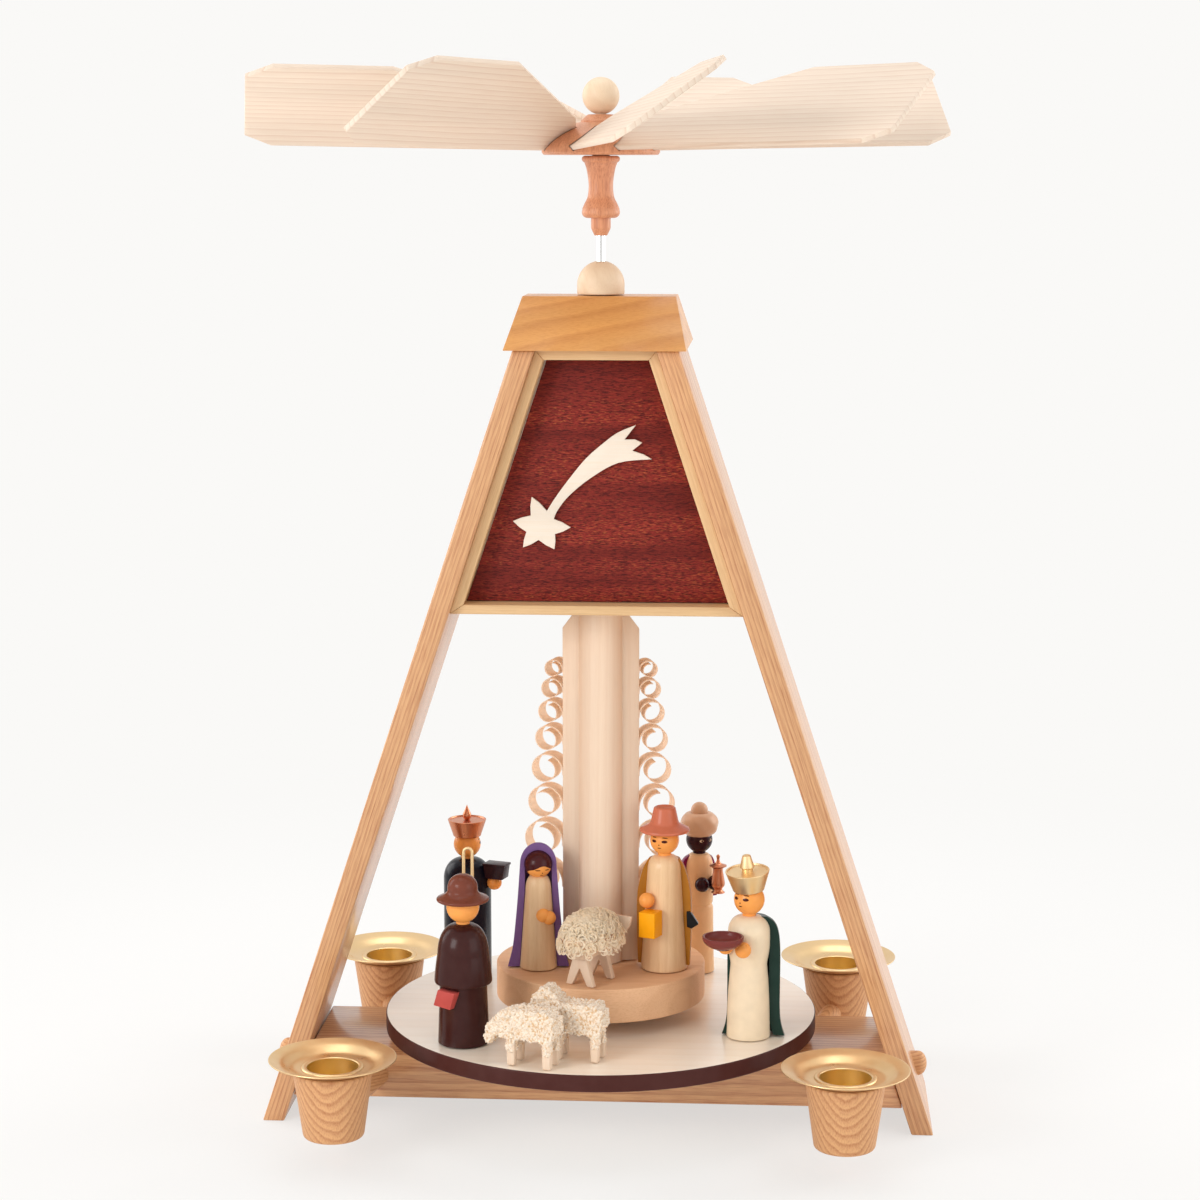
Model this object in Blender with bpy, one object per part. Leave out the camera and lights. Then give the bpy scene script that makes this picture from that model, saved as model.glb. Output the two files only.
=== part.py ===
"""Christmas pyramid: a wooden stand with a candle-driven wing wheel and a turntable of figures.

Metres, +Z up. The origin is on the table, under the axis of the wing wheel.
The stand is still. Everything parented to the empty carousel_axis turns about Z.
"""

import math

import bmesh
import bpy
from mathutils import Vector

# Clearances
GAP = 0.0003
RUNNING_GAP = 0.0005

# Sides of the round pieces
DISC_SIDES = 52
TURNED_SIDES = 20
SMALL_SIDES = 16
FIGURE_SIDES = 14
BEAD_SIDES = 8

# Stand: legs, base beam and the dowels that join them
LEG_SPREAD = 0.1152
LEG_LEAN = math.radians(18.27)
LEG_THICKNESS = 0.0070
STAND_DEPTH = 0.0560
EDGE_ROUND = 0.0007
BEAM_BOTTOM = 0.0088
BEAM_HEIGHT = 0.0154
BEAM_SETBACK = 0.0018
DOWEL_RADIUS = 0.0042
DOWEL_IN_BEAM = 0.0120
DOWEL_DOME = 0.0028

# Turntable, plinth and column, stacked on the beam
TURNTABLE_CLEARANCE = 0.0046
TURNTABLE_THICKNESS = 0.0058
TURNTABLE_RADIUS = 0.0750
TURNED_CHAMFER = 0.0006
PLINTH_CLEARANCE = 0.0051
PLINTH_HEIGHT = 0.0118
PLINTH_RADIUS = 0.0363
COLUMN_LENGTH = 0.1252
COLUMN_RADIUS = 0.00765

# Curl laths in the sides of the column
LATH_REACH = 0.0128
LATH_THICKNESS = 0.0070
LATH_SEAT_DEPTH = 0.0016
LATH_TOP_DROP = 0.0012
LATH_CHAMFER = 0.0068
LATH_SWEEP = math.radians(15.0)
CURL_COUNT = 8
CURL_FIRST_PITCH = 0.0064
CURL_PITCH_GROWTH = 0.0011
CURL_TOP_DROP = 0.0195
CURL_STRIP = 0.0006
CURL_TURN = math.radians(470.0)
CURL_STEP = math.radians(42.0)

# Box between the legs, its panel and the comet on it
BOX_HEIGHT = 0.0883
BOX_BOARD = 0.0032
PANEL_RECESS = 0.0110
PANEL_THICKNESS = 0.0030
COMET_THICKNESS = 0.0012
COMET_STAR_PLACE = -0.517
COMET_STAR_RISE = 0.0280
COMET_STAR_SHARE = 0.270
COMET_NOTCH_SHARE = 0.160
COMET_TAIL_ANGLE = math.radians(50.0)
COMET_TAIL_SHARE = 1.210
COMET_WIDTH_SHARE = 0.335
COMET_BOW_SHARE = 0.154

# Roof cap and bearing dome
ROOF_HEIGHT = 0.0168
ROOF_EAVE_WIDTH = 0.0602
ROOF_EAVE_DEPTH = 0.0660
ROOF_TOP_WIDTH = 0.0514
ROOF_TOP_DEPTH = 0.0190
DOME_RADIUS = 0.0080
DOME_HEIGHT = 0.0112

# Shaft and its foot bearing
SHAFT_RADIUS = 0.0015
SHAFT_TIP_LENGTH = 0.0030
SHAFT_TIP_RADIUS = 0.0003
SHAFT_IN_SOCKET = 0.0180
SHAFT_IN_BEAM = 0.0080
BEARING_RADIUS = 0.0050
BEARING_HEIGHT = 0.0110

# Wing wheel
WHEEL_CLEARANCE = 0.0084
SLEEVE_RADIUS = 0.0030
SLEEVE_LENGTH = 0.0058
SOCKET_LENGTH = 0.0206
SOCKET_FLANGE_RADIUS = 0.0064
SOCKET_WAIST_RADIUS = 0.0041
TENON_RADIUS = 0.0030
TENON_LENGTH = 0.0060
HUB_RADIUS = 0.0198
HUB_HEIGHT = 0.0108
HUB_EDGE = 0.0008
COLLAR_RADIUS = 0.0067
COLLAR_TOP_RADIUS = 0.0044
COLLAR_HEIGHT = 0.0025
FINIAL_RADIUS = 0.0062
FINIAL_TENON_RADIUS = 0.0018
FINIAL_TENON_LENGTH = 0.0036
BLADE_COUNT = 8
BLADE_PHASE = math.radians(11.5)
BLADE_PITCH = math.radians(35.5)
BLADE_THICKNESS = 0.0018
BLADE_RISE = 0.0102
BLADE_LIFT = math.radians(1.0)
BLADE_TIP_RADIUS = 0.1179
BLADE_LOW_SIDE = 0.0145
BLADE_HIGH_SIDE = 0.0274
BLADE_ROOT_RADIUS = 0.0085
BLADE_NECK_RADIUS = 0.0173
BLADE_NECK_RISE = 0.0031
BLADE_SHOULDER_RADIUS = 0.0706
BLADE_CORNER_LENGTH = 0.0088
BLADE_CORNER_WIDTH = 0.0055

# Candle cups on their arms
CUP_INSET = 0.0311
CUP_Y = 0.0657
CUP_BOTTOM = 0.0090
CUP_HEIGHT = 0.0228
CUP_TOP_RADIUS = 0.0132
CUP_FOOT_RADIUS = 0.0100
CUP_FOOT_ROUND = 0.0014
ARM_RADIUS = 0.0037
ARM_ROOT_INSET = 0.0399
ARM_SEAT = 0.0050
CANDLE_RADIUS = 0.0085
CANDLE_DEPTH = 0.0110
BRASS = 0.0005
RING_WIDTH = 0.0018
RING_HEIGHT = 0.0009
TRAY_RADIUS = 0.0211
TRAY_RISE = 0.0032

# Figures: places on the plinth and on the turntable
MOTHER_PLACE = (-0.0209, -0.0105)
FATHER_PLACE = (0.0225, -0.0082)
MANGER_PLACE = (-0.0017, -0.0262)
SHEPHERD_PLACE = (-0.0433, -0.0430)
BLUE_KING_PLACE = (-0.0511, 0.0380)
TURBAN_KING_PLACE = (0.0328, 0.0460)
CROWNED_KING_PLACE = (0.0520, -0.0300)
GRAZING_SHEEP_PLACE = (-0.0205, -0.0648)
STANDING_SHEEP_PLACE = (-0.0060, -0.0570)

# Figures: base radius, shoulder radius, shoulder height, neck height and head radius of each turned body
NECK_RADIUS = 0.0026
MOTHER_BODY = (0.0064, 0.0045, 0.0272, 0.0325, 0.0047)
FATHER_BODY = (0.0080, 0.0058, 0.0350, 0.0408, 0.0050)
SHEPHERD_BODY = (0.0086, 0.0086, 0.0310, 0.0418, 0.0055)
BLUE_KING_BODY = (0.0086, 0.0086, 0.0355, 0.0438, 0.0049)
TURBAN_KING_BODY = (0.0057, 0.0051, 0.0385, 0.0450, 0.0048)
CROWNED_KING_BODY = (0.0074, 0.0071, 0.0365, 0.0428, 0.0052)
COAT_HEM_HEIGHT = 0.0207
COAT_HEM_RADIUS = 0.0097
TROUSER_RADIUS = 0.0079
KING_WAIST_HEIGHT = 0.0252
KING_WAIST_RADIUS = 0.0062
KING_WAIST_TAPER = 0.0100
TURBAN_WAIST_RADIUS = 0.0046
CAPE_THICKNESS = 0.0013
MOTHER_FACING = math.radians(-85.0)
MOTHER_HAND_HEIGHT = 0.0190
HOOD_RISE = 0.0026
MOTHER_CAPE_RADIUS = 0.0106
CAPE_OPENING = math.radians(168.0)
FATHER_FACING = math.radians(-97.0)
FATHER_HAND_HEIGHT = 0.0252
FATHER_CAPE_RADIUS = 0.0094
FATHER_CAPE_DEPTH = 0.0036
KING_CAPE_FACING = math.radians(-92.0)
KING_CAPE_RADIUS = 0.0089
KING_CAPE_DEPTH = 0.0037
KING_CAPE_SHIFT = 0.0017
KING_HEM_RADIUS = 0.0106
KING_HEM_HEIGHT = 0.0070
CROWNED_KING_FACING = math.radians(-126.0)
CROWNED_KING_HOLD = 0.0308
TURBAN_KING_FACING = math.radians(-55.0)
TURBAN_KING_HOLD = 0.0330
BLUE_KING_SIDE = math.radians(-28.0)
BLUE_KING_CHEST_HEIGHT = 0.0390
BLUE_KING_HAND_HEIGHT = 0.0346
BAG_SIZE = (0.0070, 0.0032, 0.0064)
BAG_DROP = 0.0040
BAG_SIDE = math.radians(-124.0)
HAND_RADIUS = 0.0027

# Figures: hats, crowns and what they carry
SHEPHERD_BRIM_RADIUS = 0.0088
SHEPHERD_HAT_RADIUS = 0.0051
SHEPHERD_HAT_HEIGHT = 0.0064
FATHER_BRIM_RADIUS = 0.0086
FATHER_BRIM_DROP = 0.0040
FATHER_HAT_RADIUS = 0.0049
FATHER_HAT_TOP_RADIUS = 0.0036
FATHER_HAT_HEIGHT = 0.0085
BRIM_THICKNESS = 0.0012
CROWN_HEIGHT = 0.0061
CROWN_FLARE = 0.0021
CONE_NECK_RADIUS = 0.0018
CONE_RADIUS = 0.0026
CONE_TOP_RADIUS = 0.0014
CONE_HEIGHT = 0.0054
DROP_RADIUS = 0.0013
DROP_HEIGHT = 0.0046
TURBAN_RADIUS = 0.0069
TURBAN_HEIGHT = 0.0090
TURBAN_KNOB_RADIUS = 0.0031
LANTERN_SIDE = 0.0060
LANTERN_HEIGHT = 0.0096
CROOK_RADIUS = 0.0005
CROOK_LOOP = 0.0015
CROOK_RISE = 0.0636
CROOK_SIDE = math.radians(88.0)
CHEST_LENGTH = 0.0080
CHEST_HEIGHT = 0.0056
VESSEL_RADIUS = 0.0031
VESSEL_HEIGHT = 0.0142
BOWL_RADIUS = 0.0070
BOWL_HEIGHT = 0.0042
BOWL_WALL = 0.0009

# Manger with straw
MANGER_TURN = math.radians(62.0)
MANGER_LEG_HEIGHT = 0.0096
MANGER_LEG_SPREAD = 0.0054
MANGER_LEG_THICKNESS = 0.0022
MANGER_LEG_PLACE = 0.0062
TROUGH_LENGTH = 0.0262
TROUGH_WIDTH = 0.0150
TROUGH_HEIGHT = 0.0074
TROUGH_WALL = 0.0011
STRAW_RISE = 0.0088
STRAW_OVERHANG = 0.0010
END_BOARD = 0.0014
END_BOARD_RISE = 0.0034
END_BOARD_WIDTH = 0.0168

# Sheep
SHEEP_LENGTH = 0.0245
SHEEP_WIDTH = 0.0092
SHEEP_BACK = 0.0195
SHEEP_BELLY = 0.0088
SHEEP_LEG = 0.0036
SHEEP_LEG_GAP = 0.0030
GRAZING_TURN = math.radians(-20.0)
STANDING_TURN = math.radians(-14.0)
SHEEP_ROUND = 0.0014

# Levels and places worked out from the sizes above
LEG_WIDTH = LEG_THICKNESS / math.cos(LEG_LEAN)
HALF_DEPTH = STAND_DEPTH / 2
BEAM_TOP = BEAM_BOTTOM + BEAM_HEIGHT
BEAM_MIDDLE = BEAM_BOTTOM + BEAM_HEIGHT / 2
BEAM_FRONT = HALF_DEPTH - BEAM_SETBACK
TURNTABLE_BOTTOM = BEAM_TOP + TURNTABLE_CLEARANCE
TURNTABLE_TOP = TURNTABLE_BOTTOM + TURNTABLE_THICKNESS
PLINTH_BOTTOM = TURNTABLE_TOP + PLINTH_CLEARANCE
PLINTH_TOP = PLINTH_BOTTOM + PLINTH_HEIGHT
COLUMN_BOTTOM = PLINTH_TOP + GAP
COLUMN_TOP = COLUMN_BOTTOM + COLUMN_LENGTH
BOX_BOTTOM = COLUMN_TOP + GAP
BOX_TOP = BOX_BOTTOM + BOX_HEIGHT
ROOF_BOTTOM = BOX_TOP + GAP
ROOF_TOP = ROOF_BOTTOM + ROOF_HEIGHT
DOME_BOTTOM = ROOF_TOP + GAP
DOME_TOP = DOME_BOTTOM + DOME_HEIGHT
SLEEVE_BOTTOM = DOME_TOP + WHEEL_CLEARANCE
SOCKET_BOTTOM = SLEEVE_BOTTOM + SLEEVE_LENGTH
SOCKET_TOP = SOCKET_BOTTOM + SOCKET_LENGTH
HUB_BOTTOM = SOCKET_TOP + GAP
COLLAR_BOTTOM = HUB_BOTTOM + HUB_HEIGHT
COLLAR_TOP = COLLAR_BOTTOM + COLLAR_HEIGHT
SHAFT_BOTTOM = BEAM_TOP - SHAFT_IN_BEAM
SHAFT_TOP = SLEEVE_BOTTOM + SHAFT_IN_SOCKET
SHAFT_BORE = SHAFT_RADIUS + RUNNING_GAP
PANEL_FRONT = -HALF_DEPTH + PANEL_RECESS
CUP_X = LEG_SPREAD - CUP_INSET
ARM_ROOT_X = LEG_SPREAD - ARM_ROOT_INSET
CUP_TOP = CUP_BOTTOM + CUP_HEIGHT
ON_PLINTH = PLINTH_TOP + GAP
ON_TURNTABLE = TURNTABLE_TOP + GAP

TURN = 2 * math.pi
QUARTER = math.pi / 2


def clear_scene():
    """Remove every object that the scene starts with."""
    for thing in list(bpy.data.objects):
        bpy.data.objects.remove(thing, do_unlink=True)


def finish(name, colour, roughness, metallic=0.0):
    """A Principled material with the piece's colour, roughness and metallic value."""
    material = bpy.data.materials.new(name + "_finish")
    material.use_nodes = True
    shader = material.node_tree.nodes["Principled BSDF"]
    shader.inputs["Base Color"].default_value = (*colour, 1.0)
    shader.inputs["Roughness"].default_value = roughness
    shader.inputs["Metallic"].default_value = metallic
    return material


LOOKS = {
    "ash": ((0.55, 0.31, 0.16), 0.50, 0.0),
    "alder": ((0.60, 0.32, 0.12), 0.48, 0.0),
    "beech": ((0.52, 0.22, 0.11), 0.48, 0.0),
    "maple": ((0.78, 0.62, 0.46), 0.50, 0.0),
    "lime": ((0.80, 0.66, 0.47), 0.55, 0.0),
    "spruce": ((0.76, 0.62, 0.48), 0.60, 0.0),
    "mahogany": ((0.20, 0.03, 0.02), 0.55, 0.0),
    "cream": ((0.86, 0.78, 0.68), 0.55, 0.0),
    "wool": ((0.88, 0.82, 0.74), 0.90, 0.0),
    "straw": ((0.78, 0.62, 0.42), 0.85, 0.0),
    "purple": ((0.13, 0.05, 0.22), 0.45, 0.0),
    "terracotta": ((0.62, 0.17, 0.08), 0.40, 0.0),
    "brown": ((0.08, 0.03, 0.02), 0.40, 0.0),
    "navy": ((0.01, 0.01, 0.03), 0.40, 0.0),
    "amber": ((0.95, 0.38, 0.01), 0.40, 0.0),
    "bowl_red": ((0.22, 0.06, 0.05), 0.35, 0.0),
    "copper": ((0.48, 0.13, 0.07), 0.35, 0.8),
    "gold": ((0.75, 0.45, 0.18), 0.30, 0.8),
    "brass": ((0.70, 0.48, 0.18), 0.25, 1.0),
    "steel": ((0.60, 0.60, 0.60), 0.25, 1.0),
}


def add_object(name, mesh_data, look, place=(0, 0, 0), turn=(0, 0, 0), parent=None, smooth=True):
    """Turn a bmesh into a named object with its own material."""
    bmesh.ops.recalc_face_normals(mesh_data, faces=mesh_data.faces)
    if mesh_data.calc_volume(signed=True) < 0:
        bmesh.ops.reverse_faces(mesh_data, faces=mesh_data.faces)
    mesh = bpy.data.meshes.new(name)
    mesh_data.to_mesh(mesh)
    mesh_data.free()
    if smooth:
        mesh.shade_smooth()
        mesh.set_sharp_from_angle(angle=math.radians(35))
    thing = bpy.data.objects.new(name, mesh)
    bpy.context.collection.objects.link(thing)
    thing.location = place
    thing.rotation_euler = turn
    thing.parent = parent
    mesh.materials.append(finish(name, *LOOKS[look]))
    return thing


def add_helper(name, mesh_data, place=(0, 0, 0), turn=(0, 0, 0), parent=None):
    """A body that only cuts or joins another one; it is no piece of the object."""
    helper = add_object(name, mesh_data, "ash", place, turn, parent, smooth=False)
    helper.hide_render = True
    helper.display_type = "WIRE"
    return helper


def combine(target, helper, operation):
    """Cut the helper out of the target, or join it to the target."""
    boolean = target.modifiers.new(helper.name, "BOOLEAN")
    boolean.operation = operation
    boolean.solver = "EXACT"
    boolean.object = helper


def round_edges(target, width=EDGE_ROUND, segments=1):
    """Break the sharp edges of a board."""
    bevel = target.modifiers.new("round_edges", "BEVEL")
    bevel.width = width
    bevel.segments = segments
    bevel.limit_method = "ANGLE"
    bevel.angle_limit = math.radians(40)


def revolve(profile, steps, loop=False, sweep=TURN, start=0.0):
    """Spin a profile of (radius, height) points about Z; a loop profile leaves a bore or a cape."""
    shape = bmesh.new()
    points = [shape.verts.new((r * math.cos(start), r * math.sin(start), z)) for r, z in profile]
    edges = [shape.edges.new(pair) for pair in zip(points, points[1:])]
    if loop:
        edges.append(shape.edges.new((points[-1], points[0])))
    whole = sweep >= TURN
    spun = bmesh.ops.spin(
        shape, geom=points + edges, cent=(0, 0, 0), axis=(0, 0, 1),
        angle=sweep, steps=steps, use_merge=whole)
    if not whole:
        last = [part for part in spun["geom_last"] if isinstance(part, bmesh.types.BMEdge)]
        bmesh.ops.contextual_create(shape, geom=edges)
        bmesh.ops.contextual_create(shape, geom=last)
    bmesh.ops.remove_doubles(shape, verts=shape.verts, dist=1e-6)
    return shape


def extrude(outline, near, far):
    """Extrude an outline of (x, z) points along Y."""
    shape = bmesh.new()
    face = shape.faces.new([shape.verts.new((x, near, z)) for x, z in outline])
    pushed = bmesh.ops.extrude_face_region(shape, geom=[face])
    moved = [part for part in pushed["geom"] if isinstance(part, bmesh.types.BMVert)]
    bmesh.ops.translate(shape, verts=moved, vec=(0, far - near, 0))
    return shape


def loft(rings, count, power=2.0):
    """Skin a stack of rounded rings, each (half length, half width, height, ripple), and close both ends."""
    shape = bmesh.new()
    loops = []
    for half_x, half_y, z, ripple in rings:
        loop = []
        for step in range(count):
            angle = TURN * step / count
            c, s = math.cos(angle), math.sin(angle)
            swell = 1 + ripple * math.sin(5 * angle + 400 * z)
            x = half_x * swell * math.copysign(abs(c) ** (2 / power), c)
            y = half_y * swell * math.copysign(abs(s) ** (2 / power), s)
            loop.append(shape.verts.new((x, y, z)))
        loops.append(loop)
    for low, high in zip(loops, loops[1:]):
        for step in range(count):
            after = (step + 1) % count
            shape.faces.new((low[step], low[after], high[after], high[step]))
    shape.faces.new(loops[0])
    shape.faces.new(loops[-1])
    return shape


def cylinder(radius, near, far, steps=SMALL_SIDES):
    """A plain round bar along Z."""
    return revolve([(0, far), (radius, far), (radius, near), (0, near)], steps)


def box(size):
    """A box about its own middle."""
    shape = bmesh.new()
    bmesh.ops.create_cube(shape, size=1.0)
    bmesh.ops.scale(shape, vec=size, verts=shape.verts)
    return shape


def arc(centre, radii, first, last, steps):
    """Points on an ellipse of (radius, height) from one angle to another, ends included."""
    points = []
    for step in range(steps + 1):
        angle = first + (last - first) * step / steps
        points.append((centre[0] + radii[0] * math.cos(angle), centre[1] + radii[1] * math.sin(angle)))
    return points


def leg_outer_x(z):
    """Outer face of the right leg at a height."""
    return LEG_SPREAD - z * math.tan(LEG_LEAN)


def leg_inner_x(z):
    """Inner face of the right leg at a height."""
    return leg_outer_x(z) - LEG_WIDTH


def make_legs():
    """Two board legs that lean together, with a dowel hole near the foot of each."""
    for side, name in ((-1, "left"), (1, "right")):
        outline = [
            (side * leg_inner_x(0), 0), (side * leg_outer_x(0), 0),
            (side * leg_outer_x(BOX_TOP), BOX_TOP), (side * leg_inner_x(BOX_TOP), BOX_TOP)]
        leg = add_object(name + "_leg", extrude(outline, -HALF_DEPTH, HALF_DEPTH), "ash", smooth=False)
        round_edges(leg)
        inside = leg_inner_x(BEAM_MIDDLE) - LEG_THICKNESS
        outside = leg_outer_x(BEAM_MIDDLE) + LEG_THICKNESS
        hole = add_helper(
            name + "_leg_hole", cylinder(DOWEL_RADIUS + GAP, inside, outside),
            (0, 0, BEAM_MIDDLE), (0, side * QUARTER, 0))
        combine(leg, hole, "DIFFERENCE")


def make_leg_dowels():
    """A dowel through each leg into the beam's end, with a domed head proud of the leg."""
    inner_end = leg_inner_x(BEAM_MIDDLE) - DOWEL_IN_BEAM
    shoulder = leg_outer_x(BEAM_MIDDLE - DOWEL_RADIUS)
    profile = arc((0, shoulder), (DOWEL_RADIUS, DOWEL_DOME), QUARTER, 0, 3)
    profile += [(DOWEL_RADIUS, inner_end), (0, inner_end)]
    for side, name in ((-1, "left"), (1, "right")):
        dowel = revolve(profile, SMALL_SIDES)
        add_object(name + "_leg_dowel", dowel, "ash", (0, 0, BEAM_MIDDLE), (0, side * QUARTER, 0))


def cup_places():
    """Name and place of each candle cup: its side and its row."""
    for row, row_name in ((-1, "front"), (1, "rear")):
        for side, side_name in ((-1, "left"), (1, "right")):
            yield row_name + "_" + side_name, side, row


def arm_root(side, row):
    """Where an arm leaves the beam's face."""
    face = -BEAM_FRONT if row < 0 else HALF_DEPTH
    return Vector((side * ARM_ROOT_X, face, BEAM_MIDDLE))


def arm_direction(side, row):
    """From the beam's face towards the axis of the cup, level."""
    cup = Vector((side * CUP_X, row * CUP_Y, BEAM_MIDDLE))
    return (cup - arm_root(side, row)).normalized()


def arm_span(side, row):
    """Distances along the arm, from the beam's face, of its two ends."""
    cup = Vector((side * CUP_X, row * CUP_Y, BEAM_MIDDLE))
    reach = (cup - arm_root(side, row)).length
    wall = CUP_FOOT_RADIUS + (CUP_TOP_RADIUS - CUP_FOOT_RADIUS) * (BEAM_MIDDLE - CUP_BOTTOM) / CUP_HEIGHT
    return -ARM_SEAT, reach - wall + ARM_SEAT


def along(direction):
    """Rotation that lays a bar's Z axis along a direction."""
    return direction.to_track_quat("Z", "Y").to_euler()


def make_beam():
    """The base beam, with holes for the arms and leg dowels and a pocket for the foot bearing."""
    low, high = leg_inner_x(BEAM_BOTTOM) - GAP, leg_inner_x(BEAM_TOP) - GAP
    outline = [(-low, BEAM_BOTTOM), (low, BEAM_BOTTOM), (high, BEAM_TOP), (-high, BEAM_TOP)]
    beam = add_object("base_beam", extrude(outline, -BEAM_FRONT, HALF_DEPTH), "ash", smooth=False)
    round_edges(beam)
    pocket = cylinder(BEARING_RADIUS + GAP, BEAM_TOP - BEARING_HEIGHT - GAP, BEAM_TOP + BEAM_HEIGHT)
    combine(beam, add_helper("bearing_pocket", pocket), "DIFFERENCE")
    for side, name in ((-1, "left"), (1, "right")):
        end = leg_inner_x(BEAM_MIDDLE)
        hole = add_helper(
            name + "_beam_hole", cylinder(DOWEL_RADIUS + GAP, end - DOWEL_IN_BEAM - GAP, end + LEG_THICKNESS),
            (0, 0, BEAM_MIDDLE), (0, side * QUARTER, 0))
        combine(beam, hole, "DIFFERENCE")
    for name, side, row in cup_places():
        hole = add_helper(
            name + "_beam_arm_hole", cylinder(ARM_RADIUS + GAP, -ARM_SEAT - GAP, ARM_SEAT),
            arm_root(side, row), along(arm_direction(side, row)))
        combine(beam, hole, "DIFFERENCE")


def tray_profile():
    """Pressed brass candle socket with a rolled ring and a dished tray, as one sheet."""
    seat = CUP_TOP + GAP
    ring = CANDLE_RADIUS + RING_WIDTH
    floor = seat + BRASS - CANDLE_DEPTH
    rim = seat + TRAY_RISE
    return [
        (0, floor + BRASS), (CANDLE_RADIUS, floor + BRASS), (CANDLE_RADIUS, seat + BRASS),
        (CANDLE_RADIUS + RING_WIDTH / 2, seat + BRASS + RING_HEIGHT), (ring, seat + BRASS),
        (TRAY_RADIUS, rim + BRASS), (TRAY_RADIUS, rim), (ring, seat),
        (CANDLE_RADIUS + BRASS, seat), (CANDLE_RADIUS + BRASS, floor), (0, floor)]


def make_cups():
    """Four turned cups, each with its arm from the beam and its brass tray."""
    bore = CANDLE_RADIUS + BRASS + GAP
    floor = CUP_TOP + BRASS - CANDLE_DEPTH
    foot = CUP_FOOT_RADIUS - CUP_FOOT_ROUND
    profile = [(0, floor), (bore, floor), (bore, CUP_TOP), (CUP_TOP_RADIUS, CUP_TOP)]
    profile += arc((foot, CUP_BOTTOM + CUP_FOOT_ROUND), (CUP_FOOT_ROUND, CUP_FOOT_ROUND), 0, -QUARTER, 2)
    profile.append((0, CUP_BOTTOM))
    for name, side, row in cup_places():
        place = (side * CUP_X, row * CUP_Y, 0)
        near, far = arm_span(side, row)
        root, turn = arm_root(side, row), along(arm_direction(side, row))
        cup = add_object(name + "_cup", revolve(profile, TURNED_SIDES), "ash", place)
        hole = add_helper(
            name + "_cup_arm_hole", cylinder(ARM_RADIUS + GAP, far - 2 * ARM_SEAT, far + GAP), root, turn)
        combine(cup, hole, "DIFFERENCE")
        add_object(name + "_arm", cylinder(ARM_RADIUS, near, far), "ash", root, turn)
        add_object(name + "_tray", revolve(tray_profile(), TURNED_SIDES), "brass", place)


def box_inner(z):
    """Half width inside the box at a height."""
    return leg_inner_x(z) - GAP - BOX_BOARD / math.cos(LEG_LEAN)


def make_box():
    """Four thin boards glued to a box that fills the space between the legs, the panel and the comet."""
    low, high = leg_inner_x(BOX_BOTTOM) - GAP, leg_inner_x(BOX_TOP) - GAP
    floor, ceiling = BOX_BOTTOM + BOX_BOARD, BOX_TOP - BOX_BOARD
    outside = [(-low, BOX_BOTTOM), (low, BOX_BOTTOM), (high, BOX_TOP), (-high, BOX_TOP)]
    inside = [(-box_inner(floor), floor), (box_inner(floor), floor)]
    inside += [(box_inner(ceiling), ceiling), (-box_inner(ceiling), ceiling)]
    frame = add_object("panel_frame", extrude(outside, -HALF_DEPTH, HALF_DEPTH), "maple", smooth=False)
    hollow = add_helper("box_hollow", extrude(inside, -STAND_DEPTH, STAND_DEPTH))
    combine(frame, hollow, "DIFFERENCE")
    bore = add_helper("box_bore", cylinder(SHAFT_BORE, COLUMN_BOTTOM, ROOF_TOP))
    combine(frame, bore, "DIFFERENCE")

    low_edge, high_edge = floor + GAP, ceiling - GAP
    low_half, high_half = box_inner(low_edge) - GAP, box_inner(high_edge) - GAP
    sheet = [(-low_half, low_edge), (low_half, low_edge), (high_half, high_edge), (-high_half, high_edge)]
    add_object(
        "back_panel", extrude(sheet, PANEL_FRONT, PANEL_FRONT + PANEL_THICKNESS), "mahogany", smooth=False)
    back = PANEL_FRONT - GAP
    add_object("comet", extrude(comet_outline(), back - COMET_THICKNESS, back), "cream", smooth=False)


def comet_outline():
    """A six-pointed star, one point of which is drawn out to a bowed tail with three tips."""
    star_level = BOX_BOTTOM + COMET_STAR_RISE
    span = box_inner(star_level)
    middle = Vector((COMET_STAR_PLACE * span, star_level))

    def at(share, angle):
        return middle + share * span * Vector((math.cos(angle), math.sin(angle)))

    sixth = TURN / 6
    points = []
    for number in range(1, 6):
        angle = COMET_TAIL_ANGLE + number * sixth
        points.append(at(COMET_NOTCH_SHARE, angle - sixth / 2))
        points.append(at(COMET_STAR_SHARE, angle))
    points.append(at(COMET_NOTCH_SHARE, COMET_TAIL_ANGLE - sixth / 2))

    run = Vector((math.cos(COMET_TAIL_ANGLE), math.sin(COMET_TAIL_ANGLE)))
    across = Vector((-run.y, run.x))

    def tail(share, spread):
        """A point on the tail: its share of the length, and how far across it lies."""
        bow = COMET_BOW_SHARE * (math.sin(math.pi * share) - share)
        aside = bow + spread * COMET_WIDTH_SHARE / 2
        return middle + span * (run * COMET_TAIL_SHARE * share + across * aside)

    for share in (0.35, 0.55, 0.75):
        points.append(tail(share, -0.25 - 0.6 * share))
    points += [tail(1.0, -1.0), tail(0.9, -0.4), tail(1.0, 0.0), tail(0.9, 0.35), tail(0.98, 0.9)]
    for share in (0.75, 0.55, 0.35):
        points.append(tail(share, 0.25 + 0.6 * share))
    return [(point.x, point.y) for point in points]


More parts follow.
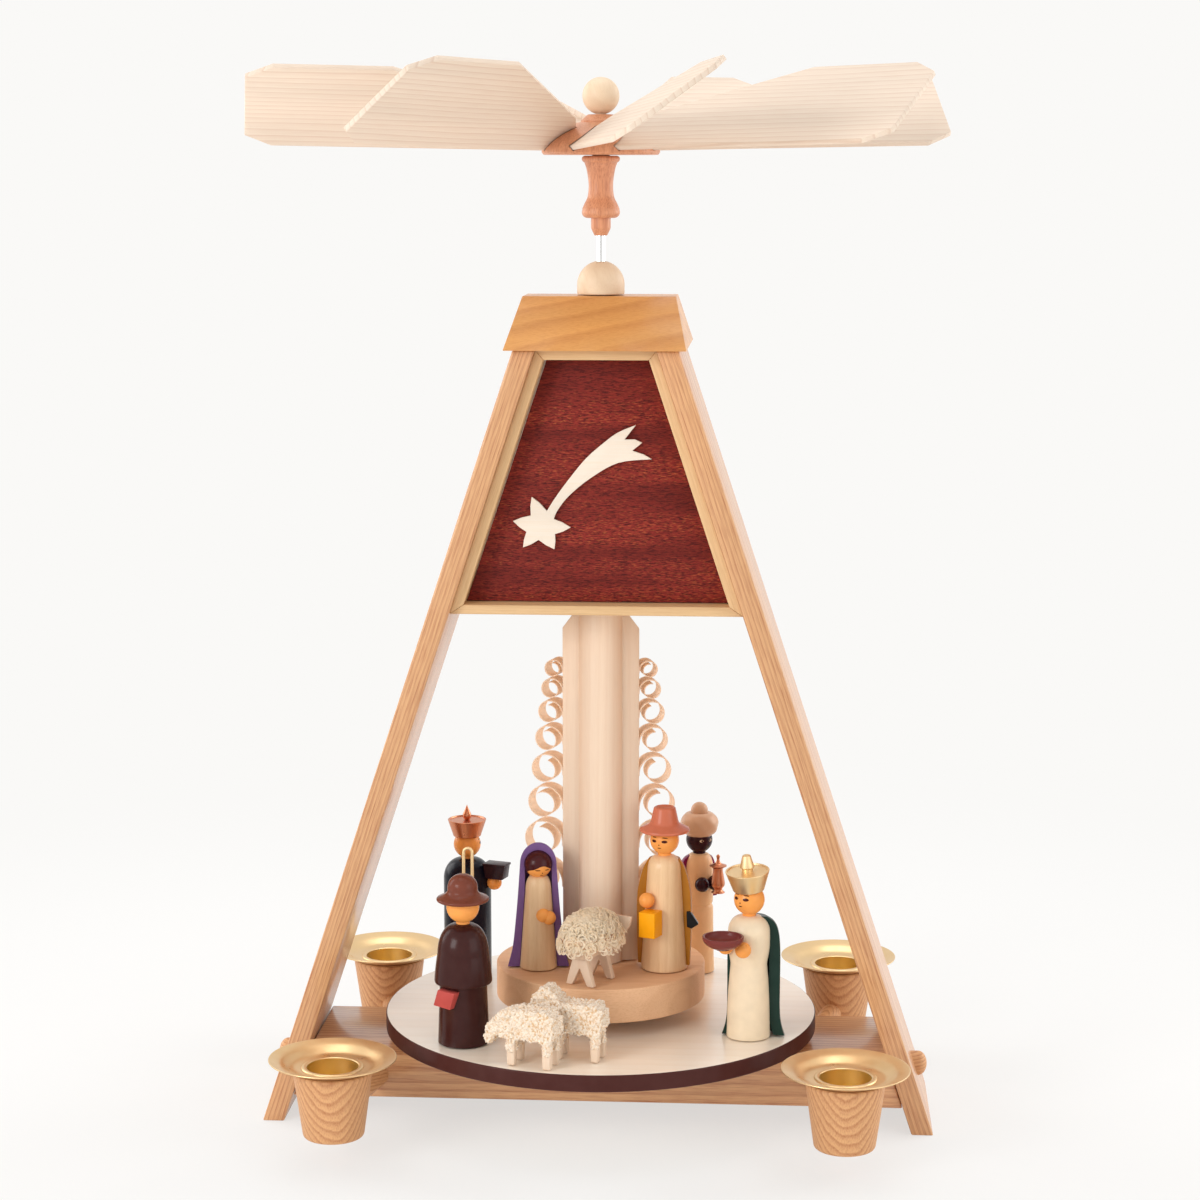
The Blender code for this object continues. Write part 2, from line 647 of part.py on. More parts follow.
def make_roof():
    """The roof cap, sloped on all four sides, and the bearing dome on its flat top."""
    shape = bmesh.new()
    rings = []
    for width, depth, z in (
            (ROOF_EAVE_WIDTH, ROOF_EAVE_DEPTH, ROOF_BOTTOM), (ROOF_TOP_WIDTH, ROOF_TOP_DEPTH, ROOF_TOP)):
        corners = ((-1, -1), (1, -1), (1, 1), (-1, 1))
        rings.append([shape.verts.new((x * width / 2, y * depth / 2, z)) for x, y in corners])
    shape.faces.new(rings[0])
    shape.faces.new(rings[1])
    for corner in range(4):
        after = (corner + 1) % 4
        shape.faces.new((rings[0][corner], rings[0][after], rings[1][after], rings[1][corner]))
    roof = add_object("roof_cap", shape, "alder", smooth=False)
    round_edges(roof)
    bore = add_helper("roof_bore", cylinder(SHAFT_BORE, BOX_BOTTOM, DOME_TOP))
    combine(roof, bore, "DIFFERENCE")

    spring = DOME_TOP - DOME_RADIUS
    top_angle = math.acos(SHAFT_BORE / DOME_RADIUS)
    profile = arc((0, spring), (DOME_RADIUS, DOME_RADIUS), top_angle, 0, 5)
    profile += [(DOME_RADIUS, DOME_BOTTOM), (SHAFT_BORE, DOME_BOTTOM)]
    add_object("bearing_dome", revolve(profile, SMALL_SIDES, loop=True), "lime")


def make_column():
    """The hollow column, the plinth on its foot and the two laths with curls in its sides."""
    profile = [
        (SHAFT_BORE, COLUMN_TOP), (COLUMN_RADIUS, COLUMN_TOP),
        (COLUMN_RADIUS, COLUMN_BOTTOM), (SHAFT_BORE, COLUMN_BOTTOM)]
    column = add_object("column", revolve(profile, TURNED_SIDES, loop=True), "maple")
    chamfer = TURNED_CHAMFER
    edge = PLINTH_RADIUS
    plinth = [
        (SHAFT_BORE, PLINTH_TOP), (edge - chamfer, PLINTH_TOP), (edge, PLINTH_TOP - chamfer),
        (edge, PLINTH_BOTTOM + chamfer), (edge - chamfer, PLINTH_BOTTOM), (SHAFT_BORE, PLINTH_BOTTOM)]
    add_object("plinth", revolve(plinth, DISC_SIDES, loop=True), "ash")

    seat = COLUMN_RADIUS - LATH_SEAT_DEPTH
    for name, heading in (("left", math.pi - LATH_SWEEP), ("right", LATH_SWEEP)):
        half = LATH_THICKNESS / 2
        lath = extrude(lath_outline(), -half, half)
        add_object(name + "_curl_lath", lath, "maple", turn=(0, 0, heading), smooth=False)
        depth = LATH_SEAT_DEPTH + COLUMN_RADIUS
        groove = add_helper(
            name + "_lath_groove", box((depth, LATH_THICKNESS + 2 * GAP, COLUMN_LENGTH)),
            ((seat + depth / 2) * math.cos(heading), (seat + depth / 2) * math.sin(heading),
             COLUMN_BOTTOM + COLUMN_LENGTH / 2 - LATH_TOP_DROP + GAP),
            (0, 0, heading))
        combine(column, groove, "DIFFERENCE")


def curl_outline(top, pitch):
    """One shaving left on the lath's edge: up beside it, over, and round to a spiral."""
    start_radius, end_radius = 0.60 * pitch, 0.27 * pitch
    middle = Vector((LATH_REACH + start_radius, top - 0.50 * pitch))
    fade = 1.55 / TURN
    root = math.radians(188.0)

    def at(turned, side):
        """A point on one face of the shaving after a turn; side 1 is its outer face, -1 its inner face."""
        radius = end_radius + (start_radius - end_radius) * math.exp(-fade * turned)
        half = CURL_STRIP / 2 * (1 - 0.4 * turned / CURL_TURN)
        angle = root - turned
        return middle + (radius + side * half) * Vector((math.cos(angle), math.sin(angle)))

    first = math.radians(42.0)
    steps = int((CURL_TURN - first) / CURL_STEP)
    turns = [first + (CURL_TURN - first) * step / steps for step in range(steps + 1)]
    crotch = (LATH_REACH, at(math.radians(30.0), 1).y)
    heel = (LATH_REACH, at(math.radians(-14.0), -1).y)
    outer = [tuple(at(turned, 1)) for turned in turns]
    inner = [tuple(at(turned, -1)) for turned in reversed(turns)]
    lead = [tuple(at(math.radians(20.0), -1))]
    return [crotch] + outer + inner + lead + [heel]


def lath_outline():
    """A lath with a chamfered top, seen from its broad side, with a row of curls that grow downwards."""
    top = COLUMN_TOP - LATH_TOP_DROP
    inner = COLUMN_RADIUS - LATH_SEAT_DEPTH + GAP
    points = [(inner, COLUMN_BOTTOM), (inner, top), (COLUMN_RADIUS, top), (LATH_REACH, top - LATH_CHAMFER)]
    curl_top = COLUMN_TOP - CURL_TOP_DROP
    for number in range(CURL_COUNT):
        pitch = CURL_FIRST_PITCH + number * CURL_PITCH_GROWTH
        points += curl_outline(curl_top, pitch)
        curl_top -= pitch
    points.append((LATH_REACH, COLUMN_BOTTOM))
    return points


def make_bearing():
    """The bearing cup in the beam, on which the shaft's tip turns."""
    bottom = BEAM_TOP - BEARING_HEIGHT
    cone_floor = SHAFT_BOTTOM - GAP
    mouth = SHAFT_BOTTOM + SHAFT_TIP_LENGTH
    profile = [
        (0, cone_floor), (SHAFT_TIP_RADIUS + GAP, cone_floor), (SHAFT_BORE, mouth), (SHAFT_BORE, BEAM_TOP),
        (BEARING_RADIUS, BEAM_TOP), (BEARING_RADIUS, bottom), (0, bottom)]
    add_object("foot_bearing", revolve(profile, SMALL_SIDES), "brass")


def make_shaft(axis):
    """The steel shaft from the foot bearing to the wing wheel."""
    profile = [
        (0, SHAFT_TOP), (SHAFT_RADIUS, SHAFT_TOP), (SHAFT_RADIUS, SHAFT_BOTTOM + SHAFT_TIP_LENGTH),
        (SHAFT_TIP_RADIUS, SHAFT_BOTTOM), (0, SHAFT_BOTTOM)]
    add_object("shaft", revolve(profile, SMALL_SIDES), "steel", parent=axis)


def make_turntable(axis):
    """The disc that carries the walking figures, bored for the shaft."""
    bore = SHAFT_RADIUS + GAP
    chamfer = TURNED_CHAMFER
    edge = TURNTABLE_RADIUS
    profile = [
        (bore, TURNTABLE_TOP), (edge - chamfer, TURNTABLE_TOP), (edge, TURNTABLE_TOP - chamfer),
        (edge, TURNTABLE_BOTTOM + chamfer), (edge - chamfer, TURNTABLE_BOTTOM), (bore, TURNTABLE_BOTTOM)]
    add_object("turntable", revolve(profile, DISC_SIDES, loop=True), "lime", parent=axis)


def socket_profile():
    """Waisted socket with a sleeve below for the shaft and a tenon above for the hub."""
    bead = 0.0024
    waist = SOCKET_BOTTOM + SOCKET_LENGTH / 2
    shaft_hole = SHAFT_RADIUS + GAP
    profile = [(0, SOCKET_TOP + TENON_LENGTH), (TENON_RADIUS, SOCKET_TOP + TENON_LENGTH)]
    profile += [(TENON_RADIUS, SOCKET_TOP), (SOCKET_FLANGE_RADIUS - GAP, SOCKET_TOP)]
    profile.append((SOCKET_FLANGE_RADIUS, SOCKET_TOP - bead / 2))
    profile.append((SOCKET_FLANGE_RADIUS - GAP, SOCKET_TOP - bead))
    for share in (0.25, 0.5, 0.75):
        z = waist + (0.5 - share) * (SOCKET_LENGTH - 2.5 * bead)
        bulge = abs(2 * share - 1) ** 1.6
        profile.append((SOCKET_WAIST_RADIUS + (SOCKET_FLANGE_RADIUS - SOCKET_WAIST_RADIUS) * 0.8 * bulge, z))
    torus = (SOCKET_FLANGE_RADIUS - bead / 2, SOCKET_BOTTOM + bead)
    profile += arc(torus, (bead / 2, bead), QUARTER, -QUARTER, 4)
    profile += [(SLEEVE_RADIUS, SOCKET_BOTTOM), (SLEEVE_RADIUS, SLEEVE_BOTTOM + SLEEVE_RADIUS / 2)]
    profile += [(SLEEVE_RADIUS * 0.8, SLEEVE_BOTTOM), (shaft_hole, SLEEVE_BOTTOM)]
    profile += [(shaft_hole, SHAFT_TOP + GAP), (0, SHAFT_TOP + GAP)]
    return profile


def hub_profile():
    """Flat-bottomed dome with a coned collar, bored below for the socket and above for the finial."""
    shoulder = HUB_BOTTOM + HUB_EDGE
    top_hole = FINIAL_TENON_RADIUS + GAP
    low_hole = TENON_RADIUS + GAP
    top_floor = COLLAR_TOP - FINIAL_TENON_LENGTH
    low_floor = HUB_BOTTOM + TENON_LENGTH
    flat = math.acos(COLLAR_RADIUS / HUB_RADIUS)
    profile = [(0, top_floor), (top_hole, top_floor), (top_hole, COLLAR_TOP), (COLLAR_TOP_RADIUS, COLLAR_TOP)]
    rise = (COLLAR_BOTTOM - shoulder) / math.sin(flat)
    profile += arc((0, shoulder), (HUB_RADIUS, rise), flat, 0, 5)
    profile += [(HUB_RADIUS - HUB_EDGE, HUB_BOTTOM), (low_hole, HUB_BOTTOM)]
    return profile + [(low_hole, low_floor), (0, low_floor)]


def blade_outline(margin=0.0, reach=BLADE_TIP_RADIUS):
    """A blade seen flat, as (radius, width) points; a margin widens its root for the slot in the hub."""
    low = -BLADE_LOW_SIDE
    points = [(BLADE_ROOT_RADIUS - margin, low - margin)]
    if reach < BLADE_TIP_RADIUS:
        share = (reach - BLADE_NECK_RADIUS) / (BLADE_SHOULDER_RADIUS - BLADE_NECK_RADIUS)
        high = BLADE_NECK_RISE + share * (BLADE_HIGH_SIDE - BLADE_NECK_RISE)
        points += [(reach, low - margin), (reach, high + margin)]
    else:
        corner = BLADE_TIP_RADIUS - BLADE_CORNER_LENGTH
        points += [
            (corner, low), (BLADE_TIP_RADIUS, low + BLADE_CORNER_WIDTH),
            (BLADE_TIP_RADIUS, BLADE_HIGH_SIDE - BLADE_CORNER_WIDTH), (corner, BLADE_HIGH_SIDE),
            (BLADE_SHOULDER_RADIUS, BLADE_HIGH_SIDE)]
    points.append((BLADE_NECK_RADIUS - margin, BLADE_NECK_RISE + margin))
    points.append((BLADE_ROOT_RADIUS - margin + 0.002, low / 4))
    return points


def flat_plate(outline, thickness):
    """A plate in its own XY plane, half its thickness either side."""
    plate = extrude(outline, -thickness / 2, thickness / 2)
    for vertex in plate.verts:
        vertex.co = Vector((vertex.co.x, vertex.co.z, vertex.co.y))
    return plate


def make_wheel(axis):
    """Socket, slotted hub, eight pitched blades and the ball on top."""
    add_object("wheel_socket", revolve(socket_profile(), SMALL_SIDES), "beech", parent=axis)
    hub = add_object("wheel_hub", revolve(hub_profile(), 2 * SMALL_SIDES), "beech", parent=axis)
    level = (0, 0, HUB_BOTTOM + BLADE_RISE)
    for number in range(BLADE_COUNT):
        turn = (BLADE_PITCH, -BLADE_LIFT, BLADE_PHASE + number * TURN / BLADE_COUNT)
        blade = flat_plate(blade_outline(), BLADE_THICKNESS)
        add_object("blade_%d" % (number + 1), blade, "spruce", level, turn, axis, smooth=False)
        slot = flat_plate(blade_outline(GAP, 1.6 * HUB_RADIUS), BLADE_THICKNESS + 2 * GAP)
        combine(hub, add_helper("slot_%d" % (number + 1), slot, level, turn, axis), "DIFFERENCE")

    ball = COLLAR_TOP + GAP + math.sqrt(FINIAL_RADIUS ** 2 - (FINIAL_TENON_RADIUS + GAP) ** 2)
    tenon_angle = -math.acos(FINIAL_TENON_RADIUS / FINIAL_RADIUS)
    profile = arc((0, ball), (FINIAL_RADIUS, FINIAL_RADIUS), QUARTER, tenon_angle, 7)
    tenon_end = COLLAR_TOP - FINIAL_TENON_LENGTH + GAP
    profile += [(FINIAL_TENON_RADIUS, tenon_end), (0, tenon_end)]
    add_object("finial_ball", revolve(profile, SMALL_SIDES), "lime", parent=axis)


def head_middle(body):
    """Height of the middle of a figure's head above its foot."""
    neck_height, head_radius = body[3], body[4]
    return neck_height + math.sqrt(head_radius ** 2 - NECK_RADIUS ** 2)


def figure_profile(body, skirt=()):
    """A turned figure: round head, neck, rounded shoulders, and a robe; skirt adds points of its outline."""
    base, shoulder, shoulder_height, neck_height, head = body
    neck_angle = -math.acos(NECK_RADIUS / head)
    profile = arc((0, head_middle(body)), (head, head), QUARTER, neck_angle, 5)
    rise = neck_height - shoulder_height
    profile += arc(
        (NECK_RADIUS, shoulder_height), (shoulder - NECK_RADIUS, rise), QUARTER * 0.9, 0, 3)
    profile += list(skirt) + [(base, 0), (0, 0)]
    return profile


def place_on(spot, level):
    """A figure's foot on the level it stands on."""
    return (spot[0], spot[1], level)


def beside(place, heading, distance, height):
    """A place at a distance from a figure's axis, in a direction and at a height above its foot."""
    return (
        place[0] + distance * math.cos(heading), place[1] + distance * math.sin(heading), place[2] + height)


def head_hollow(body, rim, steps=4):
    """The hollow in a hat that fits the head, from its rim up to the crown of the head."""
    radius = body[4] + GAP
    angle = math.asin((rim - head_middle(body)) / radius)
    return arc((0, head_middle(body)), (radius, radius), angle, QUARTER, steps)


def add_hand(figure, name, place, parent=None):
    """A bead for a hand, let into the robe."""
    bead = revolve(arc((0, 0), (HAND_RADIUS, HAND_RADIUS), QUARTER, -QUARTER, 4), BEAD_SIDES)
    combine(figure, add_helper(name, bead, place, parent=parent), "UNION")


def rest_on_bead(profile, offset):
    """Height above a hand's middle at which a turned piece rests on it, with its axis at an offset."""
    reach = HAND_RADIUS + GAP
    return max(
        math.sqrt(reach ** 2 - (radius - offset) ** 2) - z
        for radius, z in profile if abs(radius - offset) < reach)


def cape_profile(outer, thickness):
    """A cape's section: its outer line from top to hem, and back up at the cape's thickness."""
    return outer + [(max(radius - thickness, 0.0), z) for radius, z in reversed(outer)]


def make_mother():
    """The mother in a natural robe and a hooded cape, open in front."""
    place = place_on(MOTHER_PLACE, ON_PLINTH)
    figure = add_object("mother_figure", revolve(figure_profile(MOTHER_BODY), FIGURE_SIDES), "maple", place)
    hand_place = beside(place, MOTHER_FACING + 0.5, MOTHER_BODY[1] + GAP, MOTHER_HAND_HEIGHT)
    add_hand(figure, "mother_hand", hand_place)
    head, middle = MOTHER_BODY[4] + GAP, head_middle(MOTHER_BODY)
    inside = arc((0, middle), (head, head), QUARTER, 0, 4)
    inside.append((MOTHER_BODY[0] + GAP, GAP))
    outside = arc((0, middle), (head + CAPE_THICKNESS, head + HOOD_RISE), QUARTER, 0, 4)
    outside += [(head + 2 * CAPE_THICKNESS, middle / 2), (MOTHER_CAPE_RADIUS, GAP)]
    section = outside + list(reversed(inside))
    cape = revolve(section, FIGURE_SIDES, True, TURN - CAPE_OPENING, MOTHER_FACING + CAPE_OPENING / 2)
    add_object("mother_cape", cape, "purple", place)


def make_father():
    """The father in a robe and an open cape, with a brimmed hat and a lantern below the hand."""
    place = place_on(FATHER_PLACE, ON_PLINTH)
    figure = add_object("father_figure", revolve(figure_profile(FATHER_BODY), FIGURE_SIDES), "maple", place)
    base, shoulder, shoulder_height, neck_height, head = FATHER_BODY
    outer = [
        (shoulder, 0.93 * neck_height), (0.78 * FATHER_CAPE_RADIUS, shoulder_height),
        (FATHER_CAPE_RADIUS, 0.70 * shoulder_height), (FATHER_CAPE_RADIUS, 0.31 * shoulder_height),
        (base + 0.8 * CAPE_THICKNESS, CAPE_THICKNESS)]
    section = cape_profile(outer, FATHER_CAPE_DEPTH)
    cape = revolve(section, FIGURE_SIDES, True, TURN - CAPE_OPENING, FATHER_FACING + CAPE_OPENING / 2)
    combine(figure, add_helper("father_cape", cape, place), "UNION")
    hand_side = FATHER_FACING - 0.62
    hand_place = beside(place, hand_side, shoulder + HAND_RADIUS, FATHER_HAND_HEIGHT)
    add_hand(figure, "father_hand", hand_place)

    rim = head_middle(FATHER_BODY) + 0.62 * head
    crown = rim + BRIM_THICKNESS
    profile = [(0, crown + FATHER_HAT_HEIGHT), (FATHER_HAT_TOP_RADIUS, crown + FATHER_HAT_HEIGHT)]
    profile += [(FATHER_HAT_RADIUS, crown + FATHER_BRIM_DROP / 4)]
    profile += [(FATHER_BRIM_RADIUS, rim - FATHER_BRIM_DROP / 4)]
    profile += [(FATHER_BRIM_RADIUS, rim - FATHER_BRIM_DROP / 2)]
    profile += head_hollow(FATHER_BODY, rim - FATHER_BRIM_DROP / 4)
    add_object("father_hat", revolve(profile, FIGURE_SIDES), "terracotta", place)

    bottom = FATHER_HAND_HEIGHT - HAND_RADIUS - GAP - LANTERN_HEIGHT
    robe = base + (shoulder - base) * bottom / shoulder_height
    lantern_side = hand_side + 0.32
    lantern_place = beside(place, lantern_side, robe + LANTERN_SIDE / 2 + GAP, bottom + LANTERN_HEIGHT / 2)
    lantern = add_object(
        "father_lantern", box((LANTERN_SIDE, LANTERN_SIDE, LANTERN_HEIGHT)), "amber", lantern_place,
        (0, 0, lantern_side), smooth=False)
    round_edges(lantern, EDGE_ROUND / 2, 1)


def make_manger():
    """A flared trough on two splayed leg boards, heaped with straw."""
    place = place_on(MANGER_PLACE, ON_PLINTH)
    turn = (0, 0, MANGER_TURN)
    floor, rim = MANGER_LEG_HEIGHT, MANGER_LEG_HEIGHT + TROUGH_HEIGHT
    length, width = TROUGH_LENGTH / 2, TROUGH_WIDTH / 2
    wall = TROUGH_WALL
    rings = [
        (0.70 * length, 0.46 * width, floor, 0), (length, width, rim, 0),
        (length - wall, width - wall, rim, 0),
        (0.78 * length - wall, 0.62 * width - wall, floor + TROUGH_HEIGHT / 2, 0)]
    manger = add_object("manger", loft(rings, SMALL_SIDES, 3.0), "maple", place, turn, smooth=False)
    spread, top = MANGER_LEG_SPREAD, MANGER_LEG_HEIGHT + TROUGH_HEIGHT / 5
    board = [
        (-spread, 0), (-0.55 * spread, 0), (0, 0.55 * top), (0.55 * spread, 0), (spread, 0),
        (0.40 * spread, top), (-0.40 * spread, top)]
    for end, name in ((-1, "near"), (1, "far")):
        near = end * MANGER_LEG_PLACE - MANGER_LEG_THICKNESS / 2
        legs = extrude(board, near, near + MANGER_LEG_THICKNESS)
        across = (0, 0, MANGER_TURN - QUARTER)
        combine(manger, add_helper(name + "_manger_legs", legs, place, across), "UNION")

    wing, wing_top = END_BOARD_WIDTH / 2, rim + END_BOARD_RISE
    end_board = [
        (-0.5 * width, floor + TROUGH_HEIGHT / 3), (0.5 * width, floor + TROUGH_HEIGHT / 3),
        (0.9 * wing, rim), (wing, wing_top), (-wing, wing_top), (-0.9 * wing, rim)]
    far_end = extrude(end_board, -length - END_BOARD / 2, -length + END_BOARD / 2)
    combine(manger, add_helper("manger_end_board", far_end, place, (0, 0, MANGER_TURN + QUARTER)), "UNION")

    inside = wall + GAP
    lap_length, lap_width = length - inside, width + STRAW_OVERHANG
    heap = [
        (0.80 * length - inside, 0.66 * width - inside, floor + 0.62 * TROUGH_HEIGHT, 0),
        (length - inside - GAP, width - inside - GAP, rim, 0),
        (lap_length, lap_width, rim + 2 * GAP, 0.0),
        (0.97 * lap_length, lap_width, rim + 0.3 * STRAW_RISE, 0.03),
        (0.78 * lap_length, 0.80 * lap_width, rim + 0.7 * STRAW_RISE, 0.06),
        (0.36 * lap_length, 0.36 * lap_width, rim + STRAW_RISE, 0.06)]
    add_object("manger_straw", loft(heap, SMALL_SIDES, 2.4), "straw", place, turn)


def make_shepherd(axis):
    """The shepherd in a long coat, with a bag, a brimmed hat and a crook behind."""
    place = place_on(SHEPHERD_PLACE, ON_TURNTABLE)
    skirt = [(COAT_HEM_RADIUS, COAT_HEM_HEIGHT), (TROUSER_RADIUS, COAT_HEM_HEIGHT - GAP)]
    coat = revolve(figure_profile(SHEPHERD_BODY, skirt), FIGURE_SIDES)
    figure = add_object("shepherd_figure", coat, "brown", place, parent=axis)
    bag_place = beside(place, BAG_SIDE, SHEPHERD_BODY[0], COAT_HEM_HEIGHT - BAG_DROP)
    bag = add_helper("shepherd_bag", box(BAG_SIZE), bag_place, (0.1, 0, -0.5), axis)
    combine(figure, bag, "UNION")

    rim = head_middle(SHEPHERD_BODY) + 0.68 * SHEPHERD_BODY[4]
    crown = rim + BRIM_THICKNESS
    dome = 0.8 * SHEPHERD_HAT_RADIUS
    cap = crown + SHEPHERD_HAT_HEIGHT - dome
    profile = arc((0, cap), (SHEPHERD_HAT_RADIUS, dome), QUARTER, 0, 4)
    profile += [(SHEPHERD_HAT_RADIUS + BRIM_THICKNESS / 2, crown)]
    profile += [(SHEPHERD_BRIM_RADIUS, crown - BRIM_THICKNESS / 2)]
    profile += [(SHEPHERD_BRIM_RADIUS, rim - BRIM_THICKNESS / 2)]
    profile += head_hollow(SHEPHERD_BODY, rim)
    add_object("shepherd_hat", revolve(profile, FIGURE_SIDES), "brown", place, parent=axis)

    behind = beside(place, CROOK_SIDE, COAT_HEM_RADIUS + CROOK_LOOP + CROOK_RADIUS + GAP, 0)
    loop_level = CROOK_RISE - CROOK_LOOP
    route = [Vector((-CROOK_LOOP, 0, 0)), Vector((-CROOK_LOOP, 0, loop_level))]
    for step in range(1, 8):
        angle = math.pi * (1 - step / 8)
        turn = Vector((math.cos(angle), 0, math.sin(angle)))
        route.append(Vector((0, 0, loop_level)) + CROOK_LOOP * turn)
    route.append(Vector((CROOK_LOOP, 0, CROOK_RISE - 5 * CROOK_LOOP)))
    add_object("shepherd_crook", wire(route, CROOK_RADIUS), "gold", behind, parent=axis)


def wire(route, radius, sides=6):
    """A round wire in the XZ plane along a route of points, with flat ends."""
    shape = bmesh.new()
    loops = []
    for number, point in enumerate(route):
        before, after = route[max(number - 1, 0)], route[min(number + 1, len(route) - 1)]
        run = (after - before).normalized()
        normal = Vector((run.z, 0, -run.x))
        loops.append([
            shape.verts.new(point + radius * (
                normal * math.cos(TURN * side / sides) + Vector((0, 1, 0)) * math.sin(TURN * side / sides)))
            for side in range(sides)])
    for low, high in zip(loops, loops[1:]):
        for side in range(sides):
            after = (side + 1) % sides
            shape.faces.new((low[side], low[after], high[after], high[side]))
    shape.faces.new(loops[0])
    shape.faces.new(loops[-1])
    return shape


def crown_profile(body, rim, finial):
    """A crown that flares upwards to a flat top; finial lists (radius, rise) points from its tip down."""
    low = body[4]
    top = rim + CROWN_HEIGHT
    profile = [(radius, top + rise) for radius, rise in finial]
    return profile + [(low + CROWN_FLARE, top), (low, rim)] + head_hollow(body, rim)


def make_blue_king(axis):
    """A king in a long dark robe with a flared crown and a chest held out."""
    place = place_on(BLUE_KING_PLACE, ON_TURNTABLE)
    figure = add_object(
        "blue_king_figure", revolve(figure_profile(BLUE_KING_BODY), FIGURE_SIDES), "navy", place, parent=axis)
    shoulder = BLUE_KING_BODY[1]
    chest = box((CHEST_LENGTH, CHEST_HEIGHT, CHEST_HEIGHT))
    chest_place = beside(place, BLUE_KING_SIDE, shoulder + CHEST_LENGTH / 4, BLUE_KING_CHEST_HEIGHT)
    combine(figure, add_helper("blue_king_chest", chest, chest_place, (0, 0, BLUE_KING_SIDE), axis), "UNION")
    hand_place = beside(place, BLUE_KING_SIDE, shoulder + HAND_RADIUS / 2, BLUE_KING_HAND_HEIGHT)
    add_hand(figure, "blue_king_hand", hand_place, axis)
    rim = head_middle(BLUE_KING_BODY) + 0.64 * BLUE_KING_BODY[4]
    drop = [(0, DROP_HEIGHT), (DROP_RADIUS, 0.3 * DROP_HEIGHT), (0.6 * DROP_RADIUS, 0)]
    crown = revolve(crown_profile(BLUE_KING_BODY, rim, drop), FIGURE_SIDES)
    add_object("blue_king_crown", crown, "copper", place, parent=axis)


def make_turban_king(axis):
    """A king with a turban, holding a lidded vessel."""
    place = place_on(TURBAN_KING_PLACE, ON_TURNTABLE)
    waist = [
        (TURBAN_WAIST_RADIUS + TURNED_CHAMFER, KING_WAIST_HEIGHT + 3 * GAP),
        (TURBAN_WAIST_RADIUS, KING_WAIST_HEIGHT), (TURBAN_KING_BODY[1], KING_WAIST_HEIGHT - 3 * GAP)]
    robe = revolve(figure_profile(TURBAN_KING_BODY, waist), FIGURE_SIDES)
    figure = add_object("turban_king_figure", robe, "maple", place, parent=axis)
    shoulder = TURBAN_KING_BODY[1]
    facing, hold = TURBAN_KING_FACING, TURBAN_KING_HOLD
    hand_turn, hand_reach = 0.40, shoulder + 0.6 * HAND_RADIUS
    for side, name in ((-1, "right"), (1, "left")):
        spot = beside(place, facing + side * hand_turn, hand_reach, hold)
        add_hand(figure, "turban_king_" + name + "_hand", spot, axis)

    rim = head_middle(TURBAN_KING_BODY) + 0.38 * TURBAN_KING_BODY[4]
    middle = rim + TURBAN_HEIGHT / 2
    knob = rim + TURBAN_HEIGHT
    profile = arc((0, knob), (TURBAN_KNOB_RADIUS, TURBAN_KNOB_RADIUS), QUARTER, 0.2, 3)
    profile += arc((0, middle), (TURBAN_RADIUS, TURBAN_HEIGHT / 2), 1.0, -0.7, 5)
    profile += head_hollow(TURBAN_KING_BODY, rim + GAP)
    add_object("turban_king_turban", revolve(profile, FIGURE_SIDES), "maple", place, parent=axis)

    radius, height = VESSEL_RADIUS, VESSEL_HEIGHT
    belly, belly_height = 0.80 * radius, 0.22 * height
    vessel = [
        (0, height), (0.18 * radius, 0.88 * height), (0.25 * radius, 0.76 * height), (radius, 0.70 * height),
        (0.55 * radius, 0.64 * height), (belly, belly_height), (0.45 * radius, 0.08 * height),
        (belly, 0), (0, 0)]
    from_hand = math.sqrt((belly + HAND_RADIUS + GAP) ** 2 - (hand_reach * math.sin(hand_turn)) ** 2)
    vessel_place = beside(place, facing, hand_reach * math.cos(hand_turn) + from_hand, hold - belly_height)
    add_object("turban_king_vessel", revolve(vessel, FIGURE_SIDES), "copper", vessel_place, parent=axis)


